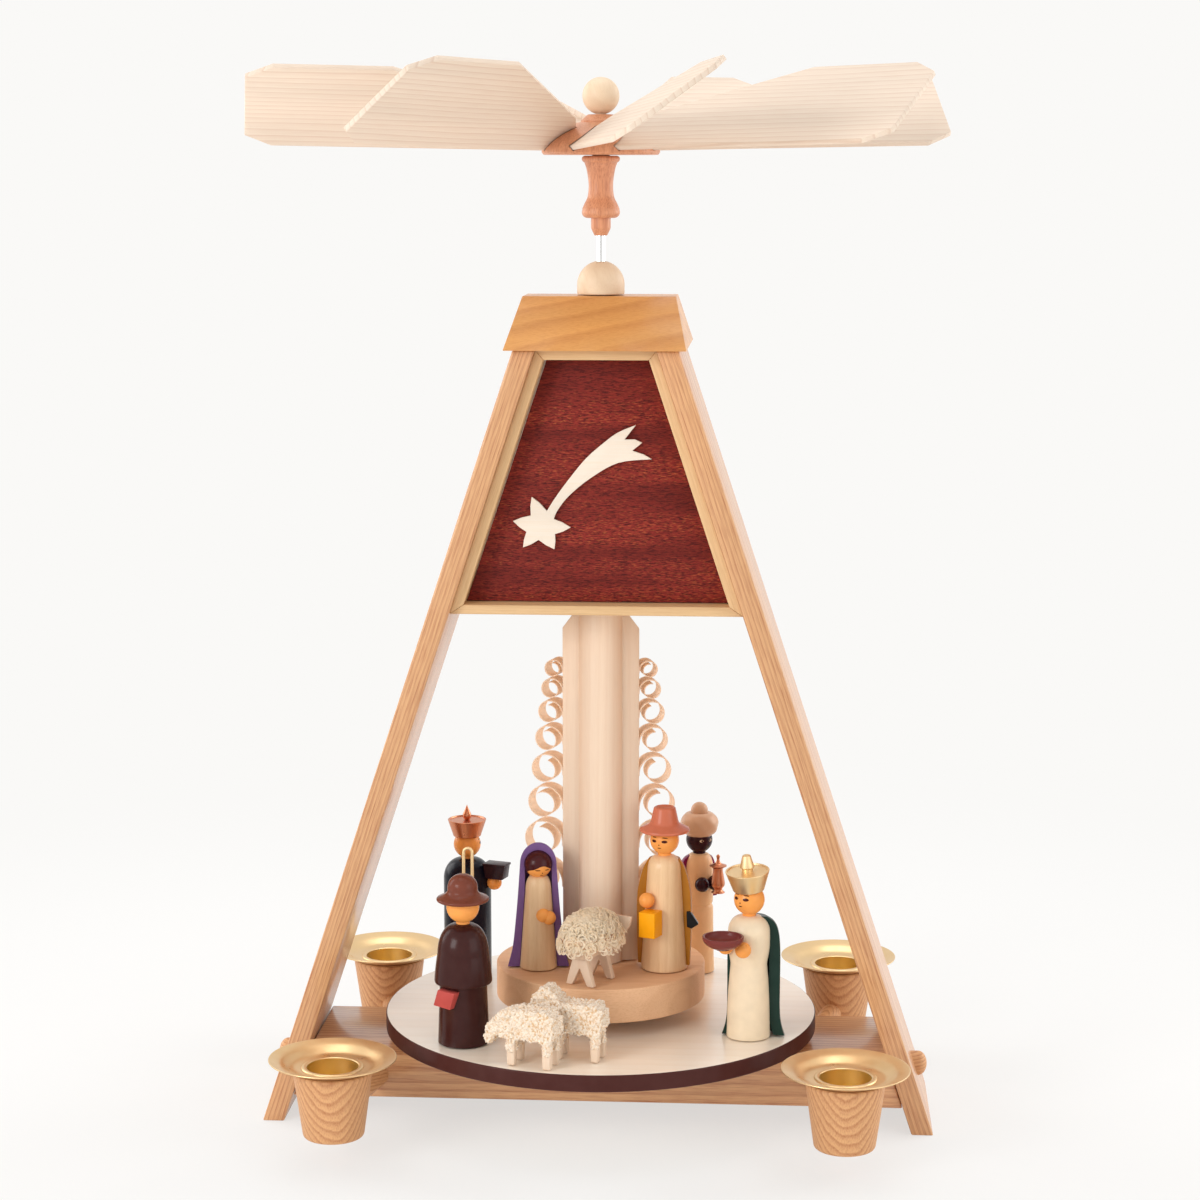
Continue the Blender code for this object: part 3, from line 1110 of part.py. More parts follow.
def make_crowned_king(axis):
    """A king in a pale robe and a long cape, holding out a bowl."""
    place = place_on(CROWNED_KING_PLACE, ON_TURNTABLE)
    base, shoulder, shoulder_height, neck_height, head = CROWNED_KING_BODY
    waist = [(KING_WAIST_RADIUS, KING_WAIST_HEIGHT), (shoulder, KING_WAIST_HEIGHT - KING_WAIST_TAPER)]
    robe = revolve(figure_profile(CROWNED_KING_BODY, waist), FIGURE_SIDES)
    figure = add_object("crowned_king_figure", robe, "cream", place, parent=axis)
    facing, hold = CROWNED_KING_FACING, CROWNED_KING_HOLD
    outer = [
        (0.62 * shoulder, 0.97 * neck_height), (0.93 * KING_CAPE_RADIUS, shoulder_height),
        (KING_CAPE_RADIUS, 0.7 * shoulder_height), (KING_CAPE_RADIUS, KING_HEM_HEIGHT),
        (KING_HEM_RADIUS, CAPE_THICKNESS)]
    section = cape_profile(outer, KING_CAPE_DEPTH)
    cape = revolve(section, FIGURE_SIDES, True, TURN - CAPE_OPENING, KING_CAPE_FACING + CAPE_OPENING / 2)
    cape_place = beside(place, KING_CAPE_FACING + QUARTER, KING_CAPE_SHIFT, 0)
    combine(figure, add_helper("crowned_king_cape", cape, cape_place, parent=axis), "UNION")
    hand_turn, hand_reach = 0.36, shoulder + 0.7 * HAND_RADIUS
    for side, name in ((-1, "right"), (1, "left")):
        spot = beside(place, facing + side * hand_turn, hand_reach, hold)
        add_hand(figure, "crowned_king_" + name + "_hand", spot, axis)

    rim = head_middle(CROWNED_KING_BODY) + 0.68 * head
    neck = 0.2 * CONE_HEIGHT
    cone = [(0, CONE_HEIGHT), (CONE_TOP_RADIUS, CONE_HEIGHT), (CONE_RADIUS, neck)]
    cone += [(CONE_NECK_RADIUS, neck), (CONE_NECK_RADIUS, 0)]
    crown = revolve(crown_profile(CROWNED_KING_BODY, rim, cone), FIGURE_SIDES)
    add_object("crowned_king_crown", crown, "gold", place, parent=axis)

    radius, height, wall = BOWL_RADIUS, BOWL_HEIGHT, BOWL_WALL
    underside = arc((0, height), (radius, height), 0, -0.75 * QUARTER, 4) + [(0.35 * radius, 0), (0, 0)]
    bowl = [(0, wall)] + arc((0, height), (radius - wall, height - wall), -0.7 * QUARTER, 0, 3) + underside
    reach = shoulder + radius + GAP
    to_hand = math.hypot(reach - hand_reach * math.cos(hand_turn), hand_reach * math.sin(hand_turn))
    bowl_place = beside(place, facing, reach, hold + rest_on_bead(underside, to_hand))
    add_object("crowned_king_bowl", revolve(bowl, FIGURE_SIDES), "bowl_red", bowl_place, parent=axis)


def sheep_outline(head):
    """A sheep from its side, facing -X: legs, belly, rump, back, and the given outline of neck and head."""
    half, leg = SHEEP_LENGTH / 2, SHEEP_LEG
    front, rear = -0.42 * half, 0.58 * half
    return [
        (front, 0), (front + leg, 0), (front + leg, SHEEP_BELLY), (rear, SHEEP_BELLY), (rear + 0.2 * leg, 0),
        (rear + 1.2 * leg, 0), (rear + 1.3 * leg, SHEEP_BELLY), (half, 0.75 * SHEEP_BACK),
        (0.86 * half, SHEEP_BACK), (-0.2 * half, SHEEP_BACK)] + head + [(front, SHEEP_BELLY)]


def make_sheep(axis):
    """Two sheep with flat sides and rounded edges: one grazing, one with its head up."""
    half, back = SHEEP_LENGTH / 2, SHEEP_BACK
    grazing = [
        (-0.6 * half, 0.88 * back), (-1.02 * half, 0.64 * back), (-1.12 * half, 0.34 * back),
        (-0.90 * half, 0.28 * back), (-0.70 * half, 0.52 * back)]
    standing = [
        (-0.45 * half, 1.16 * back), (-0.70 * half, 1.24 * back), (-1.10 * half, 1.00 * back),
        (-1.04 * half, 0.88 * back), (-0.75 * half, 0.86 * back), (-0.60 * half, 0.60 * back)]
    flock = (
        ("grazing_sheep", grazing, GRAZING_SHEEP_PLACE, GRAZING_TURN),
        ("standing_sheep", standing, STANDING_SHEEP_PLACE, STANDING_TURN))
    for name, head, spot, heading in flock:
        place, turn = place_on(spot, ON_TURNTABLE), (0, 0, heading)
        sheep = add_object(
            name, extrude(sheep_outline(head), -SHEEP_WIDTH / 2, SHEEP_WIDTH / 2), "wool", place, turn, axis)
        round_edges(sheep, SHEEP_ROUND)
        gap = add_helper(
            name + "_leg_gap", box((2 * SHEEP_LENGTH, SHEEP_LEG_GAP, 1.5 * SHEEP_BELLY)),
            place, turn, axis)
        combine(sheep, gap, "DIFFERENCE")


def main():
    """Build the stand, then everything that turns with the shaft."""
    clear_scene()
    make_legs()
    make_leg_dowels()
    make_beam()
    make_cups()
    make_box()
    make_roof()
    make_column()
    make_bearing()
    make_mother()
    make_father()
    make_manger()
    axis = bpy.data.objects.new("carousel_axis", None)
    bpy.context.collection.objects.link(axis)
    make_shaft(axis)
    make_turntable(axis)
    make_wheel(axis)
    make_shepherd(axis)
    make_blue_king(axis)
    make_turban_king(axis)
    make_crowned_king(axis)
    make_sheep(axis)


main()
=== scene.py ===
"""Looks of a wooden christmas pyramid, laid out as a Blender add-on and run as a script.

Each operator dresses one piece, or one group of like pieces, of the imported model.
Everything is in metres in the model's own frame: X to the right, Y to the back, Z up.
"""

import math
import random

import bmesh
import bpy
from mathutils import Euler, Matrix, Vector


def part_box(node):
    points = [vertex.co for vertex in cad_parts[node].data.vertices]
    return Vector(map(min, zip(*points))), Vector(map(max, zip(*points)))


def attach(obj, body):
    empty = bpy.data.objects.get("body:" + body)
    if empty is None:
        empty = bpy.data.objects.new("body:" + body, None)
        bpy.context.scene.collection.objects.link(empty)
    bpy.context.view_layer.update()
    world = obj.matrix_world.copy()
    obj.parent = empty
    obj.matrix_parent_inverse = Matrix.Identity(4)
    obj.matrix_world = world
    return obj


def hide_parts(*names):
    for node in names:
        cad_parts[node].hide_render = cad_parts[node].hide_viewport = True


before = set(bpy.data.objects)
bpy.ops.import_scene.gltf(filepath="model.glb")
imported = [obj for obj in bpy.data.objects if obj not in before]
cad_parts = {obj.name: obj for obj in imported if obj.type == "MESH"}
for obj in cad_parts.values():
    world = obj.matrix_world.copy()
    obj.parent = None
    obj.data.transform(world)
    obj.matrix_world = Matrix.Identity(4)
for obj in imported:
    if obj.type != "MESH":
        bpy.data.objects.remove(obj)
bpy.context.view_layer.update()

bl_info = {
    "name": "Christmas Pyramid",
    "version": (1, 0, 0),
    "blender": (4, 5, 0),
    "location": "View3D > Sidebar > Pyramid",
    "description": "Dresses the pieces of a wooden christmas pyramid",
    "category": "Object",
}

MM = 0.001
TURN = 2 * math.pi
QUARTER = math.pi / 2
UP = Vector((0, 0, 1))
HERE = (0, 0, 0)
CORNERS = ((-1, -1), (1, -1), (1, 1), (-1, 1))
GLUE_GAP = 0.3 * MM
SHARP_DEGREES = 32
ROUND_STEPS = 72
SMALL_STEPS = 40
CUPS = ("front_left", "front_right", "rear_left", "rear_right")
BLADES = tuple("blade_%d" % number for number in range(1, 9))
BLADE_TIP = 117.9 * MM
GRAIN_ALONG_X = (0, -QUARTER, 0)


def srgb(red, green, blue):
    """A colour written as a screen shows it, as the linear values that Blender keeps."""
    def linear(value):
        value /= 255
        return value / 12.92 if value <= 0.04045 else ((value + 0.055) / 1.055) ** 2.4
    return (linear(red), linear(green), linear(blue))


def colour(name, words, red, green, blue):
    """A colour that the user can change in the sidebar."""
    return bpy.props.FloatVectorProperty(
        name=name, description=words, subtype="COLOR", size=3, min=0.0, max=1.0,
        default=srgb(red, green, blue))


def length(name, words, millimetres):
    """A length that the user can change in the sidebar."""
    return bpy.props.FloatProperty(
        name=name, description=words, subtype="DISTANCE", unit="LENGTH", min=0.0, default=millimetres * MM)


def degrees(name, words, value):
    """An angle that the user can change in the sidebar."""
    return bpy.props.FloatProperty(name=name, description=words, subtype="ANGLE", default=math.radians(value))


class PyramidSizes(bpy.types.PropertyGroup):
    """Sizes of what the solids leave to the dressing."""

    edge: length("Board edge", "Rounding of the edges of boards", 0.5)
    turned_edge: length("Turned edge", "Rounding of the edges of turned wood", 0.6)
    leg_thickness: length("Leg thickness", "Thickness of the leg boards", 7.0)
    leg_lean: degrees("Leg lean", "Lean of the legs from the vertical", 18.27)
    box_board: length("Box board", "Thickness of the boards of the box", 3.2)
    candle_radius: length("Candle socket", "Inner radius of the candle sockets", 8.5)
    brass_sheet: length("Brass sheet", "Thickness of the pressed brass", 0.45)
    shaving: length("Shaving", "Thickness of the curled shavings", 0.42)
    lath_reach: length("Lath reach", "Distance of the lath's edge from the axis", 12.8)
    lath_width: length("Lath width", "Thickness of the laths and width of their curls", 7.0)
    straw_length: length("Straw length", "Length of a strand of wood wool", 7.5)
    straw_width: length("Straw width", "Width of a strand of wood wool", 0.6)
    straw_count: bpy.props.IntProperty(
        name="Straw strands", description="How many strands lie in the manger", min=0, default=1500)
    fleece_lump: length("Fleece lumps", "How far the fleece of the sheep stands out", 1.0)


class PyramidColours(bpy.types.PropertyGroup):
    """Colours of the woods, paints and metals."""

    ash_pale: colour("Ash, pale", "Pale wood between the rings of the legs", 225, 174, 124)
    ash_dark: colour("Ash, dark", "Rings and pores of the legs", 168, 98, 58)
    alder_pale: colour("Alder, pale", "Pale wood of the roof", 225, 164, 94)
    alder_dark: colour("Alder, dark", "Grain of the roof", 190, 120, 60)
    beech_pale: colour("Beech, pale", "Pale wood of the hub", 226, 160, 120)
    beech_dark: colour("Beech, dark", "Grain of the hub", 172, 96, 62)
    box_pale: colour("Box, pale", "Pale wood of the box boards", 230, 192, 144)
    box_dark: colour("Box, dark", "Grain of the box boards", 196, 150, 102)
    plinth_pale: colour("Plinth, pale", "Pale wood of the plinth", 240, 194, 152)
    plinth_dark: colour("Plinth, dark", "Grain of the plinth", 212, 156, 114)
    maple_pale: colour("Maple, pale", "Pale wood of the column", 236, 212, 188)
    maple_dark: colour("Maple, dark", "Grain of the column", 222, 186, 155)
    robe_pale: colour("Robe, pale", "Pale wood of the robes", 240, 204, 160)
    robe_dark: colour("Robe, dark", "Grain of the robes", 216, 168, 122)
    lime_pale: colour("Lime, pale", "Pale wood of the turntable", 251, 239, 223)
    lime_dark: colour("Lime, dark", "Grain of the turntable", 236, 211, 180)
    ball_pale: colour("Balls, pale", "Pale wood of the balls", 236, 212, 182)
    ball_dark: colour("Balls, dark", "Grain of the balls", 216, 182, 148)
    spruce_pale: colour("Spruce, pale", "Pale wood of the blades", 237, 220, 202)
    spruce_dark: colour("Spruce, dark", "Growth rings of the blades", 208, 170, 144)
    curl_pale: colour("Curls, pale", "Curled shavings", 255, 240, 222)
    curl_dark: colour("Curls, dark", "Grain of the curled shavings", 254, 218, 188)
    panel_ground: colour("Panel", "Ground of the stained panel", 130, 42, 35)
    panel_dark: colour("Panel, dark", "Dark dashes of the stained panel", 76, 20, 20)
    panel_fleck: colour("Panel, flecks", "Light flecks of the stained panel", 178, 90, 54)
    comet: colour("Comet", "Pale wood of the comet", 237, 225, 210)
    rim: colour("Turntable rim", "Stain on the turntable's edge", 72, 33, 28)
    skin: colour("Skin", "Paint of the pale heads and hands", 246, 164, 84)
    dark_skin: colour("Dark skin", "Paint of the dark head and hands", 50, 15, 25)
    feature: colour("Features", "Painted eyes, brows and mouths", 74, 28, 18)
    hair: colour("Hair", "Painted hair", 66, 20, 22)
    purple: colour("Purple", "Hooded cape", 116, 84, 136)
    mustard: colour("Mustard", "Open cape", 174, 112, 28)
    terracotta: colour("Terracotta", "Broad-brimmed hat", 202, 114, 86)
    amber: colour("Amber", "Lantern", 252, 168, 8)
    black: colour("Black", "Small wedge beside the open cape", 20, 16, 16)
    brown: colour("Brown", "Long coat", 60, 27, 24)
    brown_hat: colour("Hat brown", "Round hat", 116, 60, 45)
    salmon: colour("Salmon", "Bag", 184, 76, 70)
    navy: colour("Navy", "Long robe", 14, 16, 34)
    plum: colour("Plum", "Chest", 46, 20, 28)
    green: colour("Green", "Long cape", 24, 50, 42)
    magenta: colour("Magenta", "Short cape", 124, 16, 76)
    cream: colour("Cream", "Painted robe", 238, 218, 188)
    tan: colour("Tan", "Robe with a belt line", 240, 196, 150)
    turban: colour("Turban", "Wound turban", 216, 176, 146)
    bowl: colour("Bowl", "Offered bowl", 120, 54, 50)
    copper: colour("Copper", "Metallic paint of crown and vessel", 206, 136, 102)
    gold: colour("Gold", "Metallic paint of crown and crook", 240, 212, 164)
    brass: colour("Brass", "Candle trays", 226, 194, 146)
    socket: colour("Sockets", "Inside of the candle sockets", 240, 212, 146)
    steel: colour("Steel", "Shaft", 222, 222, 222)
    fleece: colour("Fleece", "Flocked sheep", 255, 240, 222)
    fleck: colour("Flecks", "Specks in the fleece", 232, 196, 154)
    straw_pale: colour("Straw, pale", "Pale strands", 255, 247, 231)
    straw_dark: colour("Straw, dark", "Dark strands", 255, 235, 206)
    backdrop: colour("Backdrop", "Floor and background", 250, 249, 247)


def sizes():
    """The sizes that are set in the sidebar."""
    return bpy.context.scene.pyramid_sizes


def colours():
    """The colours that are set in the sidebar."""
    return bpy.context.scene.pyramid_colours


# Node trees

def add_node(tree, kind, inputs=None, **settings):
    """A shader node with its settings and its inputs, each a value or another node's output."""
    node = tree.nodes.new("ShaderNode" + kind)
    for key, value in settings.items():
        setattr(node, key, value)
    for key, value in (inputs or {}).items():
        if isinstance(value, bpy.types.NodeSocket):
            tree.links.new(value, node.inputs[key])
        else:
            node.inputs[key].default_value = value
    return node


def blank(name, roughness, metallic=0.0, shine=0.5, coat=0.0, coat_roughness=0.03):
    """A material with only its Principled shader."""
    material = bpy.data.materials.new(name)
    material.use_nodes = True
    shader = material.node_tree.nodes["Principled BSDF"]
    for key, value in (
            ("Roughness", roughness), ("Metallic", metallic), ("Specular IOR Level", shine),
            ("Coat Weight", coat), ("Coat Roughness", coat_roughness)):
        shader.inputs[key].default_value = value
    return material, material.node_tree, shader


def ramp(tree, factor, *stops):
    """A colour ramp from a factor; each stop is a place and a colour or a grey value."""
    node = add_node(tree, "ValToRGB", {"Fac": factor})
    elements = node.color_ramp.elements
    while len(elements) < len(stops):
        elements.new(0.5)
    for element, (place, tone) in zip(elements, stops):
        element.position = place
        element.color = (*tone, 1.0) if not isinstance(tone, (int, float)) else (tone, tone, tone, 1.0)
    return node.outputs["Color"]


def mix(tree, factor, first, second, blend="MIX"):
    """Two colours mixed; each is a colour or another node's output."""
    def socket_value(tone):
        return tone if isinstance(tone, bpy.types.NodeSocket) else (*tone, 1.0)
    values = {0: factor, 6: socket_value(first), 7: socket_value(second)}
    return add_node(tree, "Mix", values, data_type="RGBA", blend_type=blend).outputs[2]


def noise(tree, where, scale, detail=2.0, roughness=0.5, output="Fac"):
    """Noise at a place, with its scale per millimetre."""
    values = {"Vector": where, "Scale": scale, "Detail": detail, "Roughness": roughness}
    return add_node(tree, "TexNoise", values).outputs[output]


def stretched(tree, where, scale, shift=HERE):
    """A place scaled along each axis and then shifted."""
    return add_node(tree, "Mapping", {"Vector": where, "Location": shift, "Scale": scale}).outputs[0]


def carried_over(tree, value, low, high, first, last, **settings):
    """A value between low and high as one between first and last."""
    values = {0: value, 1: low, 2: high, 3: first, 4: last}
    return add_node(tree, "MapRange", values, **settings).outputs[0]


def in_millimetres(tree, turn=HERE, scatter=HERE):
    """Object coordinates in millimetres, turned, and shifted differently from piece to piece."""
    where = add_node(tree, "TexCoord").outputs["Object"]
    chance = add_node(tree, "ObjectInfo").outputs["Random"]
    shift = add_node(tree, "VectorMath", {0: scatter, "Scale": chance}, operation="SCALE").outputs[0]
    larger = (1 / MM, 1 / MM, 1 / MM)
    turned_place = add_node(tree, "Mapping", {"Vector": where, "Rotation": turn, "Scale": larger}).outputs[0]
    return add_node(tree, "VectorMath", {0: turned_place, 1: shift}, operation="ADD").outputs[0]


def bump(tree, shader, height, depth):
    """Relief of a surface from a height, with its depth in millimetres."""
    relief = add_node(tree, "Bump", {"Height": height, "Distance": depth * MM, "Strength": 1.0})
    tree.links.new(relief.outputs[0], shader.inputs["Normal"])


def wood(name, pale, dark, ring_gap=2.4, ring=0.8, fibre=0.35, roughness=0.5, grain=HERE,
         pith=(26, 9, 0), wander=5.0, coat=0.0, late=0.5, scatter=(23, 17, 140)):
    """Sawn or turned wood: rings about a pith beside the piece, fibres along the grain, soft clouding."""
    material, tree, shader = blank(name, roughness, shine=0.35, coat=coat, coat_roughness=0.2)
    place = in_millimetres(tree, grain, scatter)
    along = stretched(tree, place, (1, 1, 0.07), pith)
    drift = noise(tree, along, 0.05, 3.0, output="Color")
    centred = add_node(tree, "VectorMath", {0: drift, 1: (0.5, 0.5, 0.5)}, operation="SUBTRACT").outputs[0]
    far = (wander, wander, wander)
    bent = add_node(tree, "VectorMath", {0: centred, 1: far, 2: along}, operation="MULTIPLY_ADD").outputs[0]
    one_ring_per_unit = 0.314
    rings = add_node(
        tree, "TexWave", {
            "Vector": bent, "Scale": one_ring_per_unit / ring_gap, "Distortion": 1.0, "Detail": 2.0,
            "Detail Scale": 1.4},
        wave_type="RINGS", rings_direction="Z", wave_profile="SAW").outputs["Fac"]
    half = tuple(p + (d - p) * 0.35 * ring for p, d in zip(pale, dark))
    full = tuple(p + (d - p) * ring for p, d in zip(pale, dark))
    darkest = late + 0.64 * (1 - late)
    tone = ramp(tree, rings, (0.0, pale), (late, half), (darkest, full), (1.0, half))
    fibres = noise(tree, stretched(tree, place, (3.2, 3.2, 0.10)), 1.0, 5.0, 0.6)
    streaks = ramp(tree, fibres, (0.36, dark), (0.54, pale))
    tone = mix(tree, fibre, tone, streaks)
    clouds = ramp(tree, noise(tree, along, 0.06), (0.35, 0.90), (0.65, 1.0))
    tone = mix(tree, 1.0, tone, clouds, "MULTIPLY")
    tree.links.new(tone, shader.inputs["Base Color"])
    dull = carried_over(tree, fibres, 0.3, 0.7, roughness + 0.10, roughness - 0.06)
    tree.links.new(dull, shader.inputs["Roughness"])
    bump(tree, shader, fibres, 0.05)
    return material


def paint(name, tone, roughness):
    """Brushed paint on wood: a little uneven in tone, with faint ripples and pores."""
    material, tree, shader = blank(name, roughness, shine=0.12, coat=0.10, coat_roughness=0.12)
    place = in_millimetres(tree, scatter=(31.0, 19.0, 27.0))
    unevenness = 0.04
    deep = tuple(value * (1 - unevenness) for value in tone)
    light = tuple(min(1.0, value * (1 + unevenness) + 0.004) for value in tone)
    soft = noise(tree, place, 0.22, 3.0)
    tree.links.new(ramp(tree, soft, (0.3, deep), (0.7, light)), shader.inputs["Base Color"])
    ripples = noise(tree, stretched(tree, place, (2.0, 2.0, 0.5)), 0.9, 3.0)
    bump(tree, shader, ripples, 0.03)
    return material


def bright_metal(name, tone, roughness):
    """Metal, or metallic paint, a little worn in patches."""
    material, tree, shader = blank(name, roughness, metallic=1.0)
    patches = noise(tree, in_millimetres(tree), 0.10, 3.0)
    dull = tuple(value * 0.95 for value in tone)
    tree.links.new(ramp(tree, patches, (0.35, dull), (0.62, tone)), shader.inputs["Base Color"])
    worn = carried_over(tree, patches, 0.3, 0.7, roughness * 1.35, roughness * 0.8)
    tree.links.new(worn, shader.inputs["Roughness"])
    return material


def let_light_through(material, tone, share):
    """The material as a thin one: a share of the light that falls on it comes out behind."""
    tree = material.node_tree
    through = add_node(tree, "BsdfTranslucent", {"Color": (*tone, 1.0)}).outputs[0]
    shader = tree.nodes["Principled BSDF"].outputs[0]
    both = add_node(tree, "MixShader", {0: share, 1: shader, 2: through})
    tree.links.new(both.outputs[0], tree.nodes["Material Output"].inputs["Surface"])
    return material


def fleece_finish(name):
    """Flocked fleece: small pale grains, some of them warmer, with shade between them."""
    material, tree, shader = blank(name, 0.92, shine=0.2)
    grains = add_node(tree, "TexVoronoi", {"Vector": in_millimetres(tree), "Scale": 1.5})
    pale, warm = tuple(colours().fleece), tuple(colours().fleck)
    chance = add_node(tree, "SeparateColor", {"Color": grains.outputs["Color"]}).outputs[0]
    tone = ramp(tree, chance, (0.04, warm), (0.20, pale))
    # painted shade: the colour darkens to tan away from each grain's middle, in the hollows between the
    # grains
    between = ramp(tree, grains.outputs["Distance"], (0.40, 1.0), (0.85, (0.86, 0.75, 0.62)))
    tree.links.new(mix(tree, 1.0, tone, between, "MULTIPLY"), shader.inputs["Base Color"])
    bump(tree, shader, ramp(tree, grains.outputs["Distance"], (0.0, 1.0), (0.8, 0.0)), 0.30)
    shader.inputs["Sheen Weight"].default_value = 0.2
    return material


def straw_finish(name):
    """Wood wool: each strand has its own tone between the pale and the dark one."""
    material, tree, shader = blank(name, 0.8)
    chance = add_node(tree, "NewGeometry").outputs["Random Per Island"]
    tone = ramp(tree, chance, (0.0, tuple(colours().straw_dark)), (0.45, tuple(colours().straw_pale)))
    fibres = noise(tree, in_millimetres(tree), 1.6, 3.0)
    lines = ramp(tree, fibres, (0.35, 0.90), (0.6, 1.0))
    tree.links.new(mix(tree, 1.0, tone, lines, "MULTIPLY"), shader.inputs["Base Color"])
    warm = (1.0, 0.945, 0.85)
    return let_light_through(material, warm, 0.6)


def panel_finish(name):
    """Stained panel: a ground in soft bands, short dark dashes along the grain, light flecks in patches."""
    material, tree, shader = blank(name, 0.55, shine=0.15)
    place = in_millimetres(tree)
    bands = noise(tree, stretched(tree, place, (0.012, 0.012, 0.13)), 1.0, 3.0)
    ground = tuple(colours().panel_ground)
    deep = tuple(value * 0.66 for value in ground)
    warm = tuple(value * 1.22 for value in ground)
    tone = ramp(tree, bands, (0.32, deep), (0.52, ground), (0.72, warm))
    dashes = noise(tree, stretched(tree, place, (0.55, 0.55, 4.2)), 1.0, 3.0, 0.6)
    tone = mix(tree, ramp(tree, dashes, (0.40, 1.0), (0.54, 0.0)), tone, tuple(colours().panel_dark))
    light = noise(tree, stretched(tree, place, (0.6, 0.6, 3.8), (7, 0, 3)), 1.0)
    flecks = ramp(tree, light, (0.54, 0.0), (0.70, 0.8))
    patches = ramp(tree, bands, (0.42, 0.15), (0.62, 1.0))
    amount = mix(tree, 1.0, flecks, patches, "MULTIPLY")
    tone = mix(tree, amount, tone, tuple(colours().panel_fleck))
    tree.links.new(tone, shader.inputs["Base Color"])
    bump(tree, shader, dashes, 0.06)
    return material


WOODS = {
    "ash": ("ash_pale", "ash_dark", dict(ring_gap=1.5, ring=0.75, fibre=0.42, coat=0.7)),
    "ash_lying": ("ash_pale", "ash_dark", dict(ring_gap=2.3, fibre=0.42, grain=GRAIN_ALONG_X, coat=1.0)),
    "ash_turned": ("ash_pale", "ash_dark", dict(
        ring_gap=1.2, ring=0.75, fibre=0.3, grain=(0.22, 0, 0), pith=(-2, -30, 0), wander=6.0,
        scatter=(4, 9, 40))),
    "alder": ("alder_pale", "alder_dark", dict(
        ring_gap=6.5, ring=0.6, fibre=0.26, roughness=0.42, grain=(0.1, 0.22 - QUARTER, 0), pith=(6, 20, 0),
        wander=12.0, coat=0.5)),
    "beech": ("beech_pale", "beech_dark", dict(
        ring_gap=3.0, ring=0.35, fibre=0.5, roughness=0.42, coat=0.15)),
    "box_wood": ("box_pale", "box_dark", dict(ring_gap=3.0, ring=0.35, fibre=0.3)),
    "box_wood_lying": ("box_pale", "box_dark", dict(ring_gap=3.0, ring=0.4, fibre=0.3, grain=GRAIN_ALONG_X)),
    "plinth_wood": ("plinth_pale", "plinth_dark", dict(
        ring_gap=6.0, ring=0.32, fibre=0.34, grain=GRAIN_ALONG_X, wander=9.0)),
    "maple": ("maple_pale", "maple_dark", dict(ring_gap=3.0, ring=0.22, fibre=0.15, roughness=0.48)),
    "robe_wood": ("robe_pale", "robe_dark", dict(
        ring_gap=3.2, ring=0.35, fibre=0.18, roughness=0.32, coat=0.15)),
    "lime_lying": ("lime_pale", "lime_dark", dict(
        ring_gap=5.0, ring=0.20, fibre=0.12, grain=GRAIN_ALONG_X, roughness=0.34, coat=1.0)),
    "ball_wood": ("ball_pale", "ball_dark", dict(
        ring_gap=5.0, ring=0.25, fibre=0.2, roughness=0.42, grain=(0.5, 0.3, 0), wander=8.0)),
    "spruce": ("spruce_pale", "spruce_dark", dict(
        ring=0.5, fibre=0.12, roughness=0.6, grain=GRAIN_ALONG_X, pith=(2, 34, 0), wander=8.0, late=0.76)),
    "comet_wood": ("comet", "lime_dark", dict(ring=0.2, fibre=0.2, grain=GRAIN_ALONG_X)),
    "curl": ("curl_pale", "curl_dark", dict(ring_gap=3.0, ring=0.2, fibre=0.3)),
}
METAL_ROUGHNESS = {"brass": 0.34, "steel": 0.10, "gold": 0.45, "copper": 0.33, "socket": 0.33}
GLOSS_PAINT = 0.24
MATT_PAINT = {"rim": 0.5, "purple": 0.42, "mustard": 0.45, "salmon": 0.7, "amber": 0.4}
OTHER_FINISHES = {"panel": panel_finish, "fleece": fleece_finish, "straw": straw_finish}
MATERIALS = {}


def look(name):
    """The finish of that name, made when it is first asked for."""
    if name not in MATERIALS:
        MATERIALS[name] = make_look(name)
    return MATERIALS[name]


def make_look(name):
    """A finish in the colours of the sidebar; what is in no table is a gloss paint."""
    def tone(key):
        return tuple(getattr(colours(), key))
    if name in WOODS:
        pale, dark, settings = WOODS[name]
        material = wood(name, tone(pale), tone(dark), **settings)
        thin = name == "curl"
        return let_light_through(material, tone(pale), 0.55) if thin else material
    if name in METAL_ROUGHNESS:
        return bright_metal(name, tone(name), METAL_ROUGHNESS[name])
    if name in OTHER_FINISHES:
        return OTHER_FINISHES[name](name)
    return paint(name, tone(name), MATT_PAINT.get(name, GLOSS_PAINT))


# Shapes

def in_metres(points):
    """An outline written in millimetres, in metres."""
    return [(across * MM, up * MM) for across, up in points]


def arc(centre, radii, first, last, steps):
    """Points on an ellipse of (radius, height) from one angle to another, ends included."""
    points = []
    for step in range(steps + 1):
        angle = first + (last - first) * step / steps
        points.append((centre[0] + radii[0] * math.cos(angle), centre[1] + radii[1] * math.sin(angle)))
    return points


def rounded(points, radius, steps=4, closed=False):
    """An outline with its corners rounded as far as their sides allow."""
    points = [Vector(point) for point in points]
    count = len(points)
    result = []
    for number, corner in enumerate(points):
        if not closed and number in (0, count - 1):
            result.append(tuple(corner))
            continue
        before, after = points[number - 1], points[(number + 1) % count]
        cut_in = min(radius, 0.45 * (before - corner).length)
        cut_out = min(radius, 0.45 * (after - corner).length)
        start = corner + (before - corner).normalized() * cut_in
        end = corner + (after - corner).normalized() * cut_out
        for step in range(steps + 1):
            share = step / steps
            result.append(tuple(start.lerp(corner, share).lerp(corner.lerp(end, share), share)))
    return result


